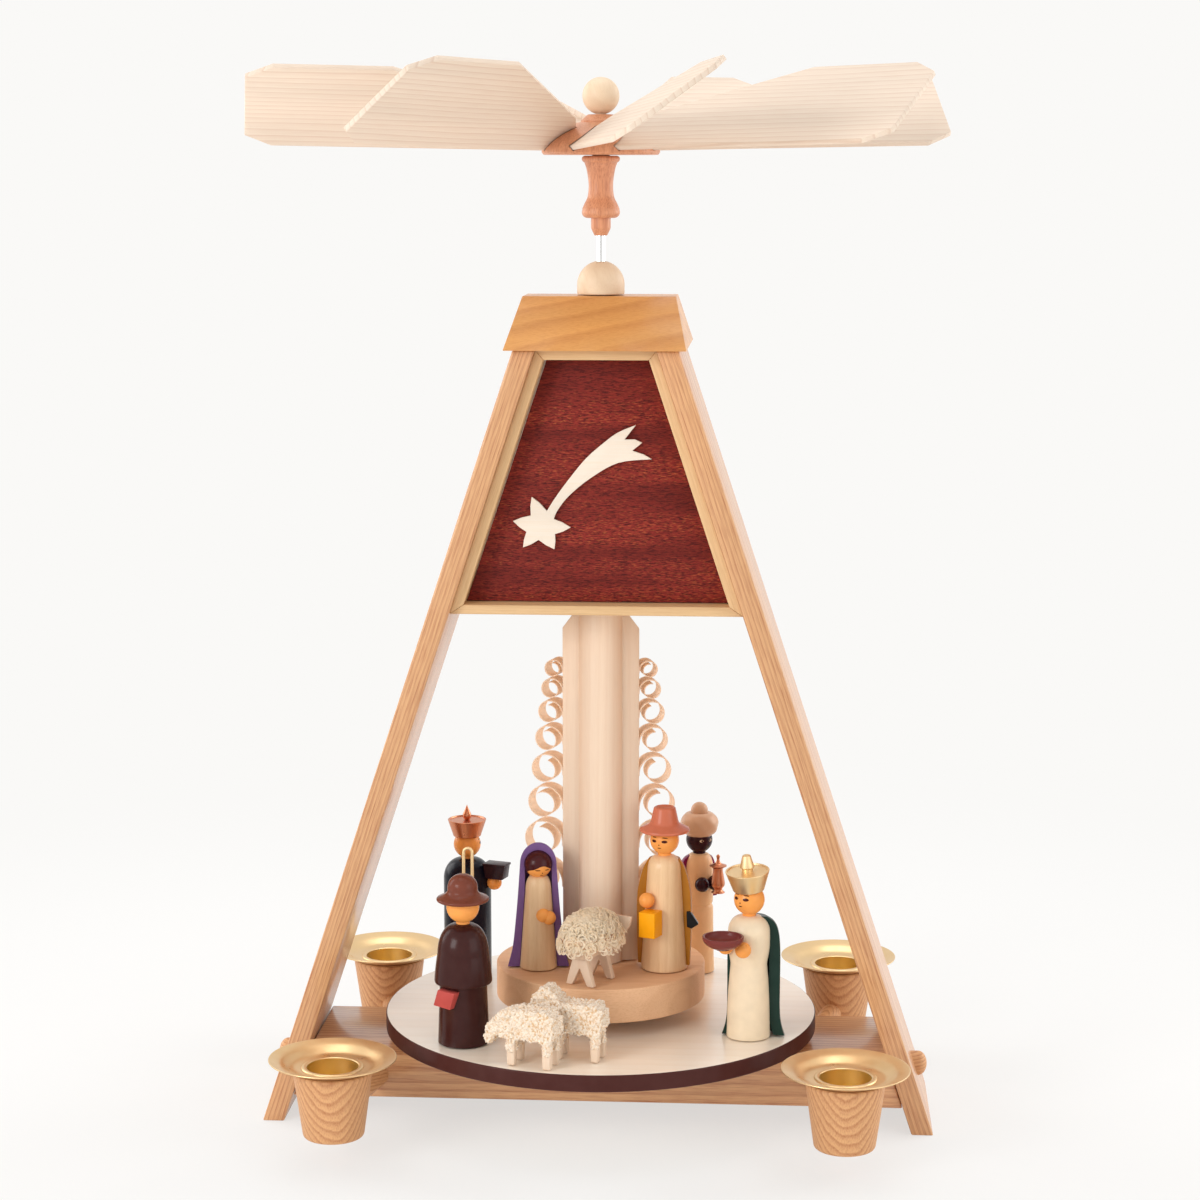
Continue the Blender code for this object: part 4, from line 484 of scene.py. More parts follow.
def smooth_line(points, steps=6):
    """A smooth curve through the points of an outline."""
    points = [Vector(point) for point in points]
    result = []
    for number in range(len(points) - 1):
        before, start = points[max(number - 1, 0)], points[number]
        end, after = points[number + 1], points[min(number + 2, len(points) - 1)]
        for step in range(steps):
            t = step / steps
            result.append(tuple(0.5 * (
                2 * start + (end - before) * t + (2 * before - 5 * start + 4 * end - after) * t * t
                + (3 * start - before - 3 * end + after) * t ** 3)))
    result.append(tuple(points[-1]))
    return result


def outward(shape):
    """The shape with all its faces pointing out."""
    bmesh.ops.recalc_face_normals(shape, faces=shape.faces)
    if shape.calc_volume(signed=True) < 0:
        bmesh.ops.reverse_faces(shape, faces=shape.faces)
    return shape


def turned(profile, steps=ROUND_STEPS, loop=False, sweep=TURN, start=0.0):
    """A profile of (radius, height) points turned about Z; a loop leaves a bore, a part turn a cape."""
    shape = bmesh.new()
    points = [shape.verts.new((r * math.cos(start), r * math.sin(start), z)) for r, z in profile]
    edges = [shape.edges.new(pair) for pair in zip(points, points[1:])]
    if loop:
        edges.append(shape.edges.new((points[-1], points[0])))
    whole = sweep >= TURN
    spun = bmesh.ops.spin(
        shape, geom=points + edges, cent=HERE, axis=UP, angle=sweep, steps=steps, use_merge=whole)
    if not whole:
        last = [part for part in spun["geom_last"] if isinstance(part, bmesh.types.BMEdge)]
        bmesh.ops.contextual_create(shape, geom=edges)
        bmesh.ops.contextual_create(shape, geom=last)
    bmesh.ops.remove_doubles(shape, verts=shape.verts, dist=1e-7)
    return outward(shape)


def round_edges(shape, edges, radius, segments=3, clamp=False):
    """Round some edges of a shape."""
    bmesh.ops.bevel(
        shape, geom=edges, offset=radius, segments=segments, profile=0.5, affect="EDGES", clamp_overlap=clamp)


def plate(outline, near, far, edge=0.0, segments=3):
    """An outline of (x, z) points extruded along Y, with rounded edges."""
    shape = bmesh.new()
    face = shape.faces.new([shape.verts.new((x, near, z)) for x, z in outline])
    pushed = bmesh.ops.extrude_face_region(shape, geom=[face])
    moved = [part for part in pushed["geom"] if isinstance(part, bmesh.types.BMVert)]
    bmesh.ops.translate(shape, verts=moved, vec=(0, far - near, 0))
    outward(shape)
    if edge:
        sharp = [line for line in shape.edges if line.calc_face_angle(0) > 0.5]
        round_edges(shape, sharp, edge, segments, clamp=True)
    return shape


def skin_rings(loops):
    """Rings of points skinned one after the other, with both ends closed."""
    shape = bmesh.new()
    made = [[shape.verts.new(point) for point in loop] for loop in loops]
    for low, high in zip(made, made[1:]):
        for step in range(len(low)):
            after = (step + 1) % len(low)
            shape.faces.new((low[step], low[after], high[after], high[step]))
    shape.faces.new(made[0])
    shape.faces.new(made[-1])
    return outward(shape)


def tube(route, radius, sides=12):
    """A round bar along a route of points."""
    loops = []
    side_way = None
    for number, point in enumerate(route):
        run = (route[min(number + 1, len(route) - 1)] - route[max(number - 1, 0)]).normalized()
        if side_way is None:
            side_way = run.orthogonal().normalized()
        side_way = (side_way - run * side_way.dot(run)).normalized()
        other = run.cross(side_way)
        loops.append([
            point + radius * (side_way * math.cos(TURN * k / sides) + other * math.sin(TURN * k / sides))
            for k in range(sides)])
    return skin_rings(loops)


def ball(radius, steps=SMALL_STEPS):
    """A turned ball about its own middle."""
    return turned(arc((0, 0), (radius, radius), QUARTER, -QUARTER, steps // 2), steps)


def rounded_box(size, edge):
    """A box about its own middle, with rounded edges."""
    shape = bmesh.new()
    bmesh.ops.create_cube(shape, size=1.0)
    bmesh.ops.scale(shape, vec=size, verts=shape.verts)
    round_edges(shape, list(shape.edges), edge)
    return outward(shape)


def dab(middle, radius, heading, rise, width, height, roll=0.0, sides=18):
    """A dab of paint on a round head: where it lies from the head's middle, its size and its slant."""
    front = Vector((math.cos(heading) * math.cos(rise), math.sin(heading) * math.cos(rise), math.sin(rise)))
    across = UP.cross(front).normalized()
    over = front.cross(across)
    loops = []
    for share, lift in ((1.0, 0.985), (1.0, 1.004), (0.6, 1.010), (0.2, 1.012)):
        loop = []
        for step in range(sides):
            angle = TURN * step / sides
            u, v = share * width / 2 * math.cos(angle), share * height / 2 * math.sin(angle)
            u, v = u * math.cos(roll) - v * math.sin(roll), u * math.sin(roll) + v * math.cos(roll)
            way = (front * radius + across * u + over * v).normalized()
            loop.append(middle + way * radius * lift)
        loops.append(loop)
    return skin_rings(loops)


def join(*parts):
    """One shape from several: each is a shape, the number of its material and where it goes."""
    whole = bmesh.new()
    for shape, number, place in parts:
        for face in shape.faces:
            face.material_index = number
        mesh = bpy.data.meshes.new("part")
        shape.to_mesh(mesh)
        shape.free()
        mesh.transform(place if isinstance(place, Matrix) else Matrix.Translation(place))
        whole.from_mesh(mesh)
        bpy.data.meshes.remove(mesh)
    return whole


def placed(shape, place):
    """A shape in one finish, moved to its place."""
    return join((shape, 0, place))


def add_piece(name, shape, looks, body, nodes, grain_frame=None, sharp=SHARP_DEGREES):
    """A shape in the model's frame as a piece on a body, in place of the nodes that it stands for."""
    mesh = bpy.data.meshes.new(name)
    shape.to_mesh(mesh)
    shape.free()
    for finish in looks:
        mesh.materials.append(look(finish))
    mesh.shade_smooth()
    mesh.set_sharp_from_angle(angle=math.radians(sharp))
    piece = bpy.data.objects.new(name, mesh)
    bpy.context.scene.collection.objects.link(piece)
    if grain_frame is not None:
        mesh.transform(grain_frame.inverted())
        piece.matrix_world = grain_frame
    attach(piece, body)
    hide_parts(*nodes)
    return piece


def middle_of(node):
    """The middle of a node's box."""
    low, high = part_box(node)
    return (low + high) / 2


def upright(node, z=0.0):
    """A frame on the upright axis through a node's middle, at a height."""
    middle = middle_of(node)
    return Matrix.Translation((middle.x, middle.y, z))


def bored(node, bore, edge, steps=ROUND_STEPS):
    """A turned disc or column of a node's size, with a bore and rounded edges."""
    low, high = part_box(node)
    radius = (high.x - low.x) / 2
    profile = rounded([(bore, high.z), (radius, high.z), (radius, low.z), (bore, low.z)], edge)
    return turned(profile, steps, loop=True)


def axis_frame(start, way):
    """A frame at a point, with its Z along a direction."""
    return Matrix.Translation(start) @ way.to_track_quat("Z", "Y").to_matrix().to_4x4()


# The stand

def leg_outer_x(z):
    """Outer face of the right leg at a height."""
    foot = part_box("right_leg")[1].x + sizes().edge * 0.25
    return foot - z * math.tan(sizes().leg_lean)


def leg_inner_x(z):
    """Inner face of the right leg at a height."""
    return leg_outer_x(z) - sizes().leg_thickness / math.cos(sizes().leg_lean)


class PYRAMID_OT_legs(bpy.types.Operator):
    """Build the two leaning legs and the dowels through their feet"""

    bl_idname = "pyramid.legs"
    bl_label = "Legs"

    def execute(self, context):
        low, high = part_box("right_leg")
        for side, name in ((-1, "left"), (1, "right")):
            outline = [
                (side * leg_inner_x(0), low.z), (side * leg_outer_x(0), low.z),
                (side * leg_outer_x(high.z), high.z), (side * leg_inner_x(high.z), high.z)]
            leaning = Matrix.Rotation(-side * sizes().leg_lean, 4, "Y")
            add_piece(
                name + "_leg_board", plate(outline, low.y, high.y, sizes().edge), ["ash"], "stand",
                [name + "_leg"], leaning)
            dowel_low, dowel_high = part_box(name + "_leg_dowel")
            radius = (dowel_high.z - dowel_low.z) / 2
            span = dowel_high.x - dowel_low.x
            dome = 0.7 * radius
            profile = arc((0, span - dome), (radius, dome), QUARTER, 0, 10) + [(radius, 0), (0, 0)]
            inner_x = dowel_high.x if side < 0 else dowel_low.x
            inner = Vector((inner_x, 0, (dowel_low.z + dowel_high.z) / 2))
            where = axis_frame(inner, Vector((side, 0, 0)))
            add_piece(
                name + "_dowel", placed(turned(profile, SMALL_STEPS), where), ["ash_turned"], "stand",
                [name + "_leg_dowel"], where)
        return {"FINISHED"}


class PYRAMID_OT_beam(bpy.types.Operator):
    """Build the beam between the feet"""

    bl_idname = "pyramid.beam"
    bl_label = "Base beam"

    def execute(self, context):
        low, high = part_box("base_beam")
        bottom, top = leg_inner_x(low.z) - GLUE_GAP, leg_inner_x(high.z) - GLUE_GAP
        outline = [(-bottom, low.z), (bottom, low.z), (top, high.z), (-top, high.z)]
        add_piece(
            "beam", plate(outline, low.y, high.y, sizes().edge), ["ash_lying"], "stand", ["base_beam"])
        low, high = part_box("foot_bearing")
        radius = (high.x - low.x) / 2
        bore = 0.4 * radius
        profile = rounded([(bore, low.z), (bore, high.z), (radius, high.z), (radius, low.z)], 0.3 * MM)
        add_piece(
            "bearing", turned(profile, SMALL_STEPS, loop=True), ["brass"], "stand", ["foot_bearing"])
        return {"FINISHED"}


class PYRAMID_OT_cups(bpy.types.Operator):
    """Build the candle cups, their brass trays and the arms that carry them"""

    bl_idname = "pyramid.cups"
    bl_label = "Candle cups"

    arm_root: length("Arm root", "Distance from the middle at which an arm leaves the beam", 75.3)

    def execute(self, context):
        for name in CUPS:
            self.make_cup(name)
            self.make_tray(name)
            self.make_arm(name)
        return {"FINISHED"}

    def make_cup(self, name):
        """A turned cup with a softly rounded foot and a bore for the socket."""
        low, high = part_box(name + "_cup")
        top_radius = (high.x - low.x) / 2
        foot_radius = 0.76 * top_radius
        bore = sizes().candle_radius + sizes().brass_sheet + GLUE_GAP
        floor = high.z - 10.5 * MM
        outline = [
            (0, floor), (bore, floor), (bore, high.z), (top_radius, high.z), (foot_radius, low.z), (0, low.z)]
        profile = rounded(outline, 1.3 * MM, 5)
        where = upright(name + "_cup")
        add_piece(
            name + "_candle_cup", placed(turned(profile), where), ["ash_turned"], "stand", [name + "_cup"],
            where)

    def make_tray(self, name):
        """A pressed tray: flat-bottomed socket, low rolled ring, shallow dish and a thin rim."""
        low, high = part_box(name + "_tray")
        inner, sheet = sizes().candle_radius, sizes().brass_sheet
        roll_half, lip_half = 0.9 * MM, 0.2 * MM
        ring, rim = inner + 2 * roll_half, (high.x - low.x) / 2 - lip_half
        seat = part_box(name + "_cup")[1].z + GLUE_GAP
        level = seat + sheet
        dish = smooth_line([
            (ring, level), (ring + 3.2 * MM, level + 0.35 * MM), (rim - 3.8 * MM, high.z - 1.1 * MM),
            (rim, high.z)], 8)
        under = [(r, z - sheet) for r, z in reversed(dish)]
        roll = arc((inner + roll_half, level), (roll_half, 0.4 * MM), math.pi, 0, 10)
        wall = rounded([(0, low.z + sheet), (inner, low.z + sheet), (inner, level)], 1.0 * MM)
        outside = rounded([(inner + sheet, seat), (inner + sheet, low.z), (0, low.z)], 1.2 * MM)
        lip = arc((rim, high.z - sheet / 2), (lip_half, sheet / 2), QUARTER * 0.9, -QUARTER * 0.9, 5)
        shape = turned(wall[:-1] + roll[1:-1] + dish + lip + under + outside, 96)
        for face in shape.faces:
            spot = face.calc_center_median()
            in_socket = math.hypot(spot.x, spot.y) < inner + 0.1 * MM and spot.z > low.z
            face.material_index = int(in_socket)
        where = upright(name + "_tray")
        bmesh.ops.transform(shape, matrix=where, verts=shape.verts)
        add_piece(
            name + "_candle_tray", shape, ["brass", "socket"], "stand", [name + "_tray"], where)

    def make_arm(self, name):
        """A dowel from the beam's face into the cup."""
        cup, box = middle_of(name + "_cup"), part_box(name + "_arm")
        radius = (box[1].z - box[0].z) / 2
        level = (box[1].z + box[0].z) / 2
        beam_low, beam_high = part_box("base_beam")
        root = Vector((math.copysign(self.arm_root, cup.x), beam_high.y if cup.y > 0 else beam_low.y, level))
        tip = Vector((cup.x, cup.y, level))
        way = (tip - root).normalized()
        start = root - way * 4 * MM
        reach = (tip - start).length - 7 * MM
        where = axis_frame(start, way)
        profile = [(0, reach), (radius, reach), (radius, 0), (0, 0)]
        add_piece(
            name + "_arm_dowel", placed(turned(profile, SMALL_STEPS), where), ["ash_turned"], "stand",
            [name + "_arm"], where)


class PYRAMID_OT_box(bpy.types.Operator):
    """Build the four boards of the box, the stained panel and the comet"""

    bl_idname = "pyramid.box"
    bl_label = "Box, panel and comet"

    recess: length("Recess", "How far the box stands back behind the front of the legs", 3.5)

    def execute(self, context):
        self.make_boards()
        low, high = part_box("back_panel")
        outline = [(-high.x, low.z), (high.x, low.z)]
        narrow = leg_inner_x(high.z) - self.wall() - 0.6 * MM
        outline += [(narrow, high.z), (-narrow, high.z)]
        add_piece(
            "stained_panel", plate(outline, low.y, high.y, 0.2 * MM), ["panel"], "stand", ["back_panel"])
        self.make_comet()
        return {"FINISHED"}

    def wall(self):
        """Width of a side board, measured level."""
        return sizes().box_board / math.cos(sizes().leg_lean) + GLUE_GAP

    def make_boards(self):
        """Two leaning sides, a floor and a top, mitred at the corners."""
        low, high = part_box("panel_frame")
        board, gap, edge = sizes().box_board, 0.02 * MM, 0.3 * MM
        floor, ceiling = low.z + board, high.z - board
        def outer(z):
            return leg_inner_x(z) - gap
        def inner(z):
            return leg_inner_x(z) - self.wall()
        boards = {
            "box_floor": ([(-outer(low.z), low.z), (outer(low.z), low.z), (inner(floor), floor),
                           (-inner(floor), floor)], "box_wood_lying", 0.0),
            "box_top": ([(-inner(ceiling), ceiling), (inner(ceiling), ceiling), (outer(high.z), high.z),
                         (-outer(high.z), high.z)], "box_wood_lying", 0.0)}
        for side, name in ((-1, "box_left"), (1, "box_right")):
            boards[name] = ([
                (side * outer(low.z), low.z), (side * outer(high.z), high.z),
                (side * inner(ceiling), ceiling), (side * inner(floor), floor)],
                "box_wood", -side * sizes().leg_lean)
        for name, (outline, finish, lean) in boards.items():
            shape = plate(outline, low.y + self.recess, high.y, edge, 2)
            add_piece(
                name, shape, [finish], "stand", ["panel_frame"], Matrix.Rotation(lean, 4, "Y"))

    def make_comet(self):
        """A star with five short points and a bowed tail with three tips, in millimetres from its middle."""
        low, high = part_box("comet")
        points = [
            (2.0, 4.7), (-3.1, 9.4), (-3.4, 3.1), (-9.4, 1.2), (-4.9, -2.4), (-6.1, -7.7), (-0.8, -5.1),
            (4.5, -8.2), (4.7, -3.1), (10.0, -0.8), (4.3, 2.0)]
        leafy = []
        for start, end in zip(points, points[1:]):
            run = Vector(end) - Vector(start)
            leafy += [start, tuple(Vector(start) + run / 2 + Vector((run.y, -run.x)) * 0.045)]
        low_edge = smooth_line([
            (4.3, 2.0), (5.6, 4.9), (9.4, 9.8), (16.5, 15.7), (25.9, 21.0), (37.1, 22.3)], 5)
        middle_tip = [(34.4, 23.9), (30.6, 25.1), (33.9, 27.8), (31.4, 28.9), (28.0, 28.8)]
        high_edge = smooth_line([
            (31.8, 33.7), (25.9, 31.2), (21.2, 27.8), (14.9, 22.2), (8.6, 14.4), (4.7, 9.0), (2.0, 4.7)], 5)
        shift = Vector((low.x + 9.6 * MM, low.z + 10.8 * MM))
        line = leafy + low_edge + middle_tip + high_edge[:-1]
        outline = [tuple(shift + Vector(point) * MM) for point in line]
        add_piece(
            "comet_plate", plate(outline, low.y, high.y, 0.12 * MM, 2), ["comet_wood"], "stand", ["comet"])


class PYRAMID_OT_roof(bpy.types.Operator):
    """Build the roof cap and the bearing dome on it"""

    bl_idname = "pyramid.roof"
    bl_label = "Roof and dome"

    top_width: length("Top width", "Width of the roof's flat top", 51.4)
    top_depth: length("Top depth", "Depth of the roof's flat top", 19.0)
    bore: length("Bore", "Radius of the hole for the shaft", 2.0)

    def execute(self, context):
        low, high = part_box("roof_cap")
        eaves = (high.x - low.x + 0.4 * MM, high.y - low.y + 0.7 * MM, low.z)
        rings = []
        for width, depth, z in (eaves, (self.top_width, self.top_depth, high.z)):
            rings.append([(x * width / 2, y * depth / 2, z) for x, y in CORNERS])
        shape = skin_rings(rings)
        round_edges(shape, list(shape.edges), sizes().edge / 2)
        add_piece("roof", outward(shape), ["alder"], "stand", ["roof_cap"])
        low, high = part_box("bearing_dome")
        radius = (high.x - low.x) / 2
        spring = high.z - math.sqrt(radius ** 2 - self.bore ** 2)
        profile = arc((0, spring), (radius, radius), math.acos(self.bore / radius), 0, 16)
        profile += rounded([(radius, spring), (radius, low.z), (self.bore, low.z)], 0.5 * MM)[1:]
        add_piece("dome", turned(profile, loop=True), ["ball_wood"], "stand", ["bearing_dome"])
        return {"FINISHED"}


class PYRAMID_OT_column(bpy.types.Operator):
    """Build the column, its curled laths and the plinth"""

    bl_idname = "pyramid.column"
    bl_label = "Column, curls and plinth"

    bore: length("Bore", "Radius of the hole for the shaft", 2.0)
    sweep: degrees("Lath angle", "How far behind the column's sides the laths stand", 15)
    curl_count: bpy.props.IntProperty(name="Curls", description="Curls on a lath", min=0, default=8)
    first_pitch: length("First curl", "Height of the topmost curl", 6.5)
    pitch_growth: length("Curl growth", "By how much each curl is larger than the one above", 1.2)
    top_drop: length("Curl start", "From the column's top to the topmost curl", 19.5)

    def execute(self, context):
        add_piece(
            "turned_column", bored("column", self.bore, 0.3 * MM), ["maple"], "stand", ["column"])
        add_piece(
            "plinth_disc", bored("plinth", self.bore, sizes().turned_edge, 128), ["plinth_wood"], "stand",
            ["plinth"])
        for heading, name in ((math.pi - self.sweep, "left"), (self.sweep, "right")):
            self.make_lath(name, heading)
        return {"FINISHED"}

    def make_lath(self, name, heading):
        """A lath with a slanted top, and the shavings curled off its edge."""
        low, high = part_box(name + "_curl_lath")
        column_radius = (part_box("column")[1].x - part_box("column")[0].x) / 2
        reach, half = sizes().lath_reach, sizes().lath_width / 2
        inner = column_radius - 1.3 * MM
        outline = [
            (inner, low.z), (reach, low.z), (reach, high.z - 6.8 * MM), (column_radius, high.z),
            (inner, high.z)]
        parts = [(plate(outline, -half, half, 0.25 * MM, 2), 0, HERE)]
        chance = random.Random(name)
        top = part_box("column")[1].z - self.top_drop
        for number in range(self.curl_count):
            pitch = self.first_pitch + number * self.pitch_growth
            parts.append((self.curl(top, pitch, reach, half, chance), 1, HERE))
            top -= pitch
        turn = Matrix.Rotation(heading, 4, "Z")
        shape = join(*parts)
        bmesh.ops.transform(shape, matrix=turn, verts=shape.verts)
        add_piece(
            name + "_curled_lath", shape, ["maple", "curl"], "stand", [name + "_curl_lath"],
            turn, sharp=40)

    def curl(self, top, pitch, reach, half, chance):
        """A shaving that rises from the lath's edge, rolls over outwards and winds up."""
        start, end = 0.60 * pitch, 0.27 * pitch * chance.uniform(0.92, 1.05)
        middle = Vector((reach + start - 0.2 * MM, 0, top - 0.50 * pitch))
        turns = math.radians(470 + chance.uniform(-25, 25))
        drift = chance.uniform(-0.5, 0.5) * MM
        thick = sizes().shaving
        root = math.radians(192)
        steps = 48
        loops = []
        for step in range(steps + 1):
            turned_by = turns * step / steps
            radius = end + (start - end) * math.exp(-1.55 * turned_by / TURN)
            angle = root - turned_by
            spoke = Vector((math.cos(angle), 0, math.sin(angle)))
            thin = thick / 2 * (1 - 0.45 * step / steps)
            width = half * (1 - 0.10 * step / steps)
            shift = Vector((0, drift * step / steps, 0))
            loops.append([
                middle + spoke * (radius + side * thin) + shift + Vector((0, edge * width, 0))
                for side, edge in ((1, -1), (1, 1), (-1, 1), (-1, -1))])
        return skin_rings(loops)


# The carousel

class PYRAMID_OT_turntable(bpy.types.Operator):
    """Build the turntable with its stained rim, and the shaft"""

    bl_idname = "pyramid.turntable"
    bl_label = "Turntable and shaft"

    def execute(self, context):
        low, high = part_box("turntable")
        edge = sizes().turned_edge
        rim = (high.x - low.x) / 2 - 0.6 * edge
        shape = bored("turntable", 1.8 * MM, edge, 160)
        for face in shape.faces:
            spot = face.calc_center_median()
            face.material_index = int(math.hypot(spot.x, spot.y) > rim)
        add_piece("turntable_disc", shape, ["lime_lying", "rim"], "carousel", ["turntable"])
        low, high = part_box("shaft")
        radius = (high.x - low.x) / 2
        profile = rounded([
            (0, high.z), (radius, high.z), (radius, low.z + 3 * MM), (0.2 * radius, low.z), (0, low.z)],
            0.2 * MM)
        add_piece("shaft_rod", turned(profile, 32), ["steel"], "carousel", ["shaft"])
        return {"FINISHED"}


class PYRAMID_OT_wheel(bpy.types.Operator):
    """Build the socket, hub and ball of the wing wheel, and its blades"""

    bl_idname = "pyramid.wheel"
    bl_label = "Wing wheel"

    pitch: degrees("Blade pitch", "Tilt of the blades", 35.5)
    phase: degrees("Blade phase", "Direction of the first blade", 11.5)
    blade_thickness: length("Blade thickness", "Thickness of the blades", 1.8)
    blade_rise: length("Blade rise", "From the hub's underside to the blades' pitch line", 10.2)
    lift: degrees("Blade lift", "Rise of the blades towards their tips", 1.0)

    def execute(self, context):
        self.make_socket()
        self.make_hub()
        self.make_ball()
        for number, name in enumerate(BLADES):
            self.make_blade(name, number)
        return {"FINISHED"}

    def make_socket(self):
        """A waisted socket with a bead above, a torus below and a sleeve round the shaft."""
        low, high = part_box("wheel_socket")
        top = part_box("wheel_hub")[0].z - GLUE_GAP
        flange = (high.x - low.x) / 2
        sleeve, bore = 0.47 * flange, 1.8 * MM
        base = low.z + 5.8 * MM
        body = smooth_line([(share * flange, top - drop * MM) for share, drop in (
            (0.86, 2.3), (0.76, 4.2), (0.67, 7.4), (0.64, 10.4), (0.70, 13.6), (0.86, 15.8),
            (0.97, 17.4))], 6)
        large, small = 1.9 * MM, 1.1 * MM
        torus = arc((flange - large, base + large), (large, large), QUARTER * 0.25, -QUARTER, 10)
        bead = arc((flange - small, top - small), (small, small), QUARTER, -QUARTER * 0.7, 10)
        profile = [(0, high.z), (3 * MM, high.z), (3 * MM, top)] + bead + body + torus
        profile += rounded([
            (sleeve * 1.1, base), (sleeve * 1.1, low.z + 2.4 * MM), (sleeve * 0.72, low.z), (bore, low.z)],
            0.4 * MM)
        profile += [(bore, low.z + 18 * MM), (0, low.z + 18 * MM)]
        add_piece("socket", turned(profile), ["beech"], "carousel", ["wheel_socket"])

    def make_hub(self):
        """A flat-bottomed dome with a coned collar, slotted for the blades."""
        low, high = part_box("wheel_hub")
        radius, hole = (high.x - low.x) / 2, 3.3 * MM
        collar, collar_top, top_hole = 6.7 * MM, 4.4 * MM, 2.1 * MM
        step, shoulder = high.z - 2.5 * MM, low.z + 0.8 * MM
        flat = math.acos(collar / radius)
        profile = [(0, high.z - 3.6 * MM), (top_hole, high.z - 3.6 * MM), (top_hole, high.z)]
        cone = [(top_hole, high.z), (collar_top, high.z), (collar, step + 0.4 * MM)]
        profile += rounded(cone, 0.4 * MM)[1:]
        profile += arc((0, shoulder), (radius, (step - shoulder) / math.sin(flat)), flat, 0, 20)
        profile += rounded([(radius, shoulder), (radius - 0.6 * MM, low.z), (hole, low.z)], 0.3 * MM)[1:]
        profile += [(hole, low.z + 6 * MM), (0, low.z + 6 * MM)]
        hub = add_piece("hub", turned(profile, 96), ["beech"], "carousel", ["wheel_hub"])
        slots = []
        for number in range(len(BLADES)):
            slots.append((self.blade_shape(2 * radius, 0.25 * MM), 0, self.blade_frame(number)))
        self.cut_slots(hub, slots)

    def cut_slots(self, hub, slots):
        """Take the slots out of the hub, one after the other."""
        for part in slots:
            mesh = bpy.data.meshes.new("slot")
            shape = join(part)
            shape.to_mesh(mesh)
            shape.free()
            cutter = bpy.data.objects.new("slot", mesh)
            bpy.context.scene.collection.objects.link(cutter)
            cutting = hub.modifiers.new("slot", "BOOLEAN")
            cutting.operation = "DIFFERENCE"
            cutting.solver = "EXACT"
            cutting.object = cutter
            whole = bpy.data.meshes.new_from_object(hub.evaluated_get(bpy.context.evaluated_depsgraph_get()))
            hub.modifiers.clear()
            hub.data = whole
            bpy.data.objects.remove(cutter)
        hub.data.shade_smooth()
        hub.data.set_sharp_from_angle(angle=math.radians(SHARP_DEGREES))

    def make_ball(self):
        """A ball with a tenon that stands in the collar."""
        low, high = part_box("finial_ball")
        radius, tenon = (high.x - low.x) / 2, 1.8 * MM
        profile = arc((0, high.z - radius), (radius, radius), QUARTER, -math.acos(tenon / radius), 24)
        profile += [(tenon, low.z), (0, low.z)]
        add_piece("ball", turned(profile), ["ball_wood"], "carousel", ["finial_ball"])

    def blade_frame(self, number):
        """Where a blade lies: its length along X, its width along Y."""
        turn = Euler((self.pitch, -self.lift, self.phase + number * TURN / len(BLADES))).to_matrix().to_4x4()
        return Matrix.Translation((0, 0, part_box("wheel_hub")[0].z + self.blade_rise)) @ turn

    def blade_shape(self, tip, margin=0.0):
        """A thin board, narrow at the hub, with cut outer corners; a margin makes room for it in the hub."""
        low, high, corner = -14.5 * MM, 27.4 * MM, Vector((8.8, 5.5)) * MM
        root, neck, neck_rise, shoulder = 8.5 * MM - margin, 17.3 * MM - margin, 3.1 * MM + margin, 70.6 * MM
        outline = [(root, low - margin)]
        if tip > shoulder:
            outline += [
                (tip - corner.x, low), (tip, low + corner.y), (tip, high - corner.y), (tip - corner.x, high),
                (shoulder, high)]
        else:
            reach = neck_rise + (high - neck_rise) * (tip - neck) / (shoulder - neck)
            outline += [(tip, low - margin), (tip, reach)]
        outline += [(neck, neck_rise), (root + 2 * MM, low / 4)]
        half = self.blade_thickness / 2 + margin
        shape = plate(outline, -half, half, 0.0 if margin else 0.3 * MM, 2)
        for vertex in shape.verts:
            vertex.co = Vector((vertex.co.x, vertex.co.z, vertex.co.y))
        return outward(shape)

    def make_blade(self, name, number):
        """One of the eight blades."""
        where = self.blade_frame(number)
        shape = self.blade_shape(BLADE_TIP)
        bmesh.ops.transform(shape, matrix=where, verts=shape.verts)
        add_piece("wing_%d" % (number + 1), shape, ["spruce"], "carousel", [name], where)


# The figures

NECK = 2.6 * MM
CAPE_OPENING = math.radians(168)


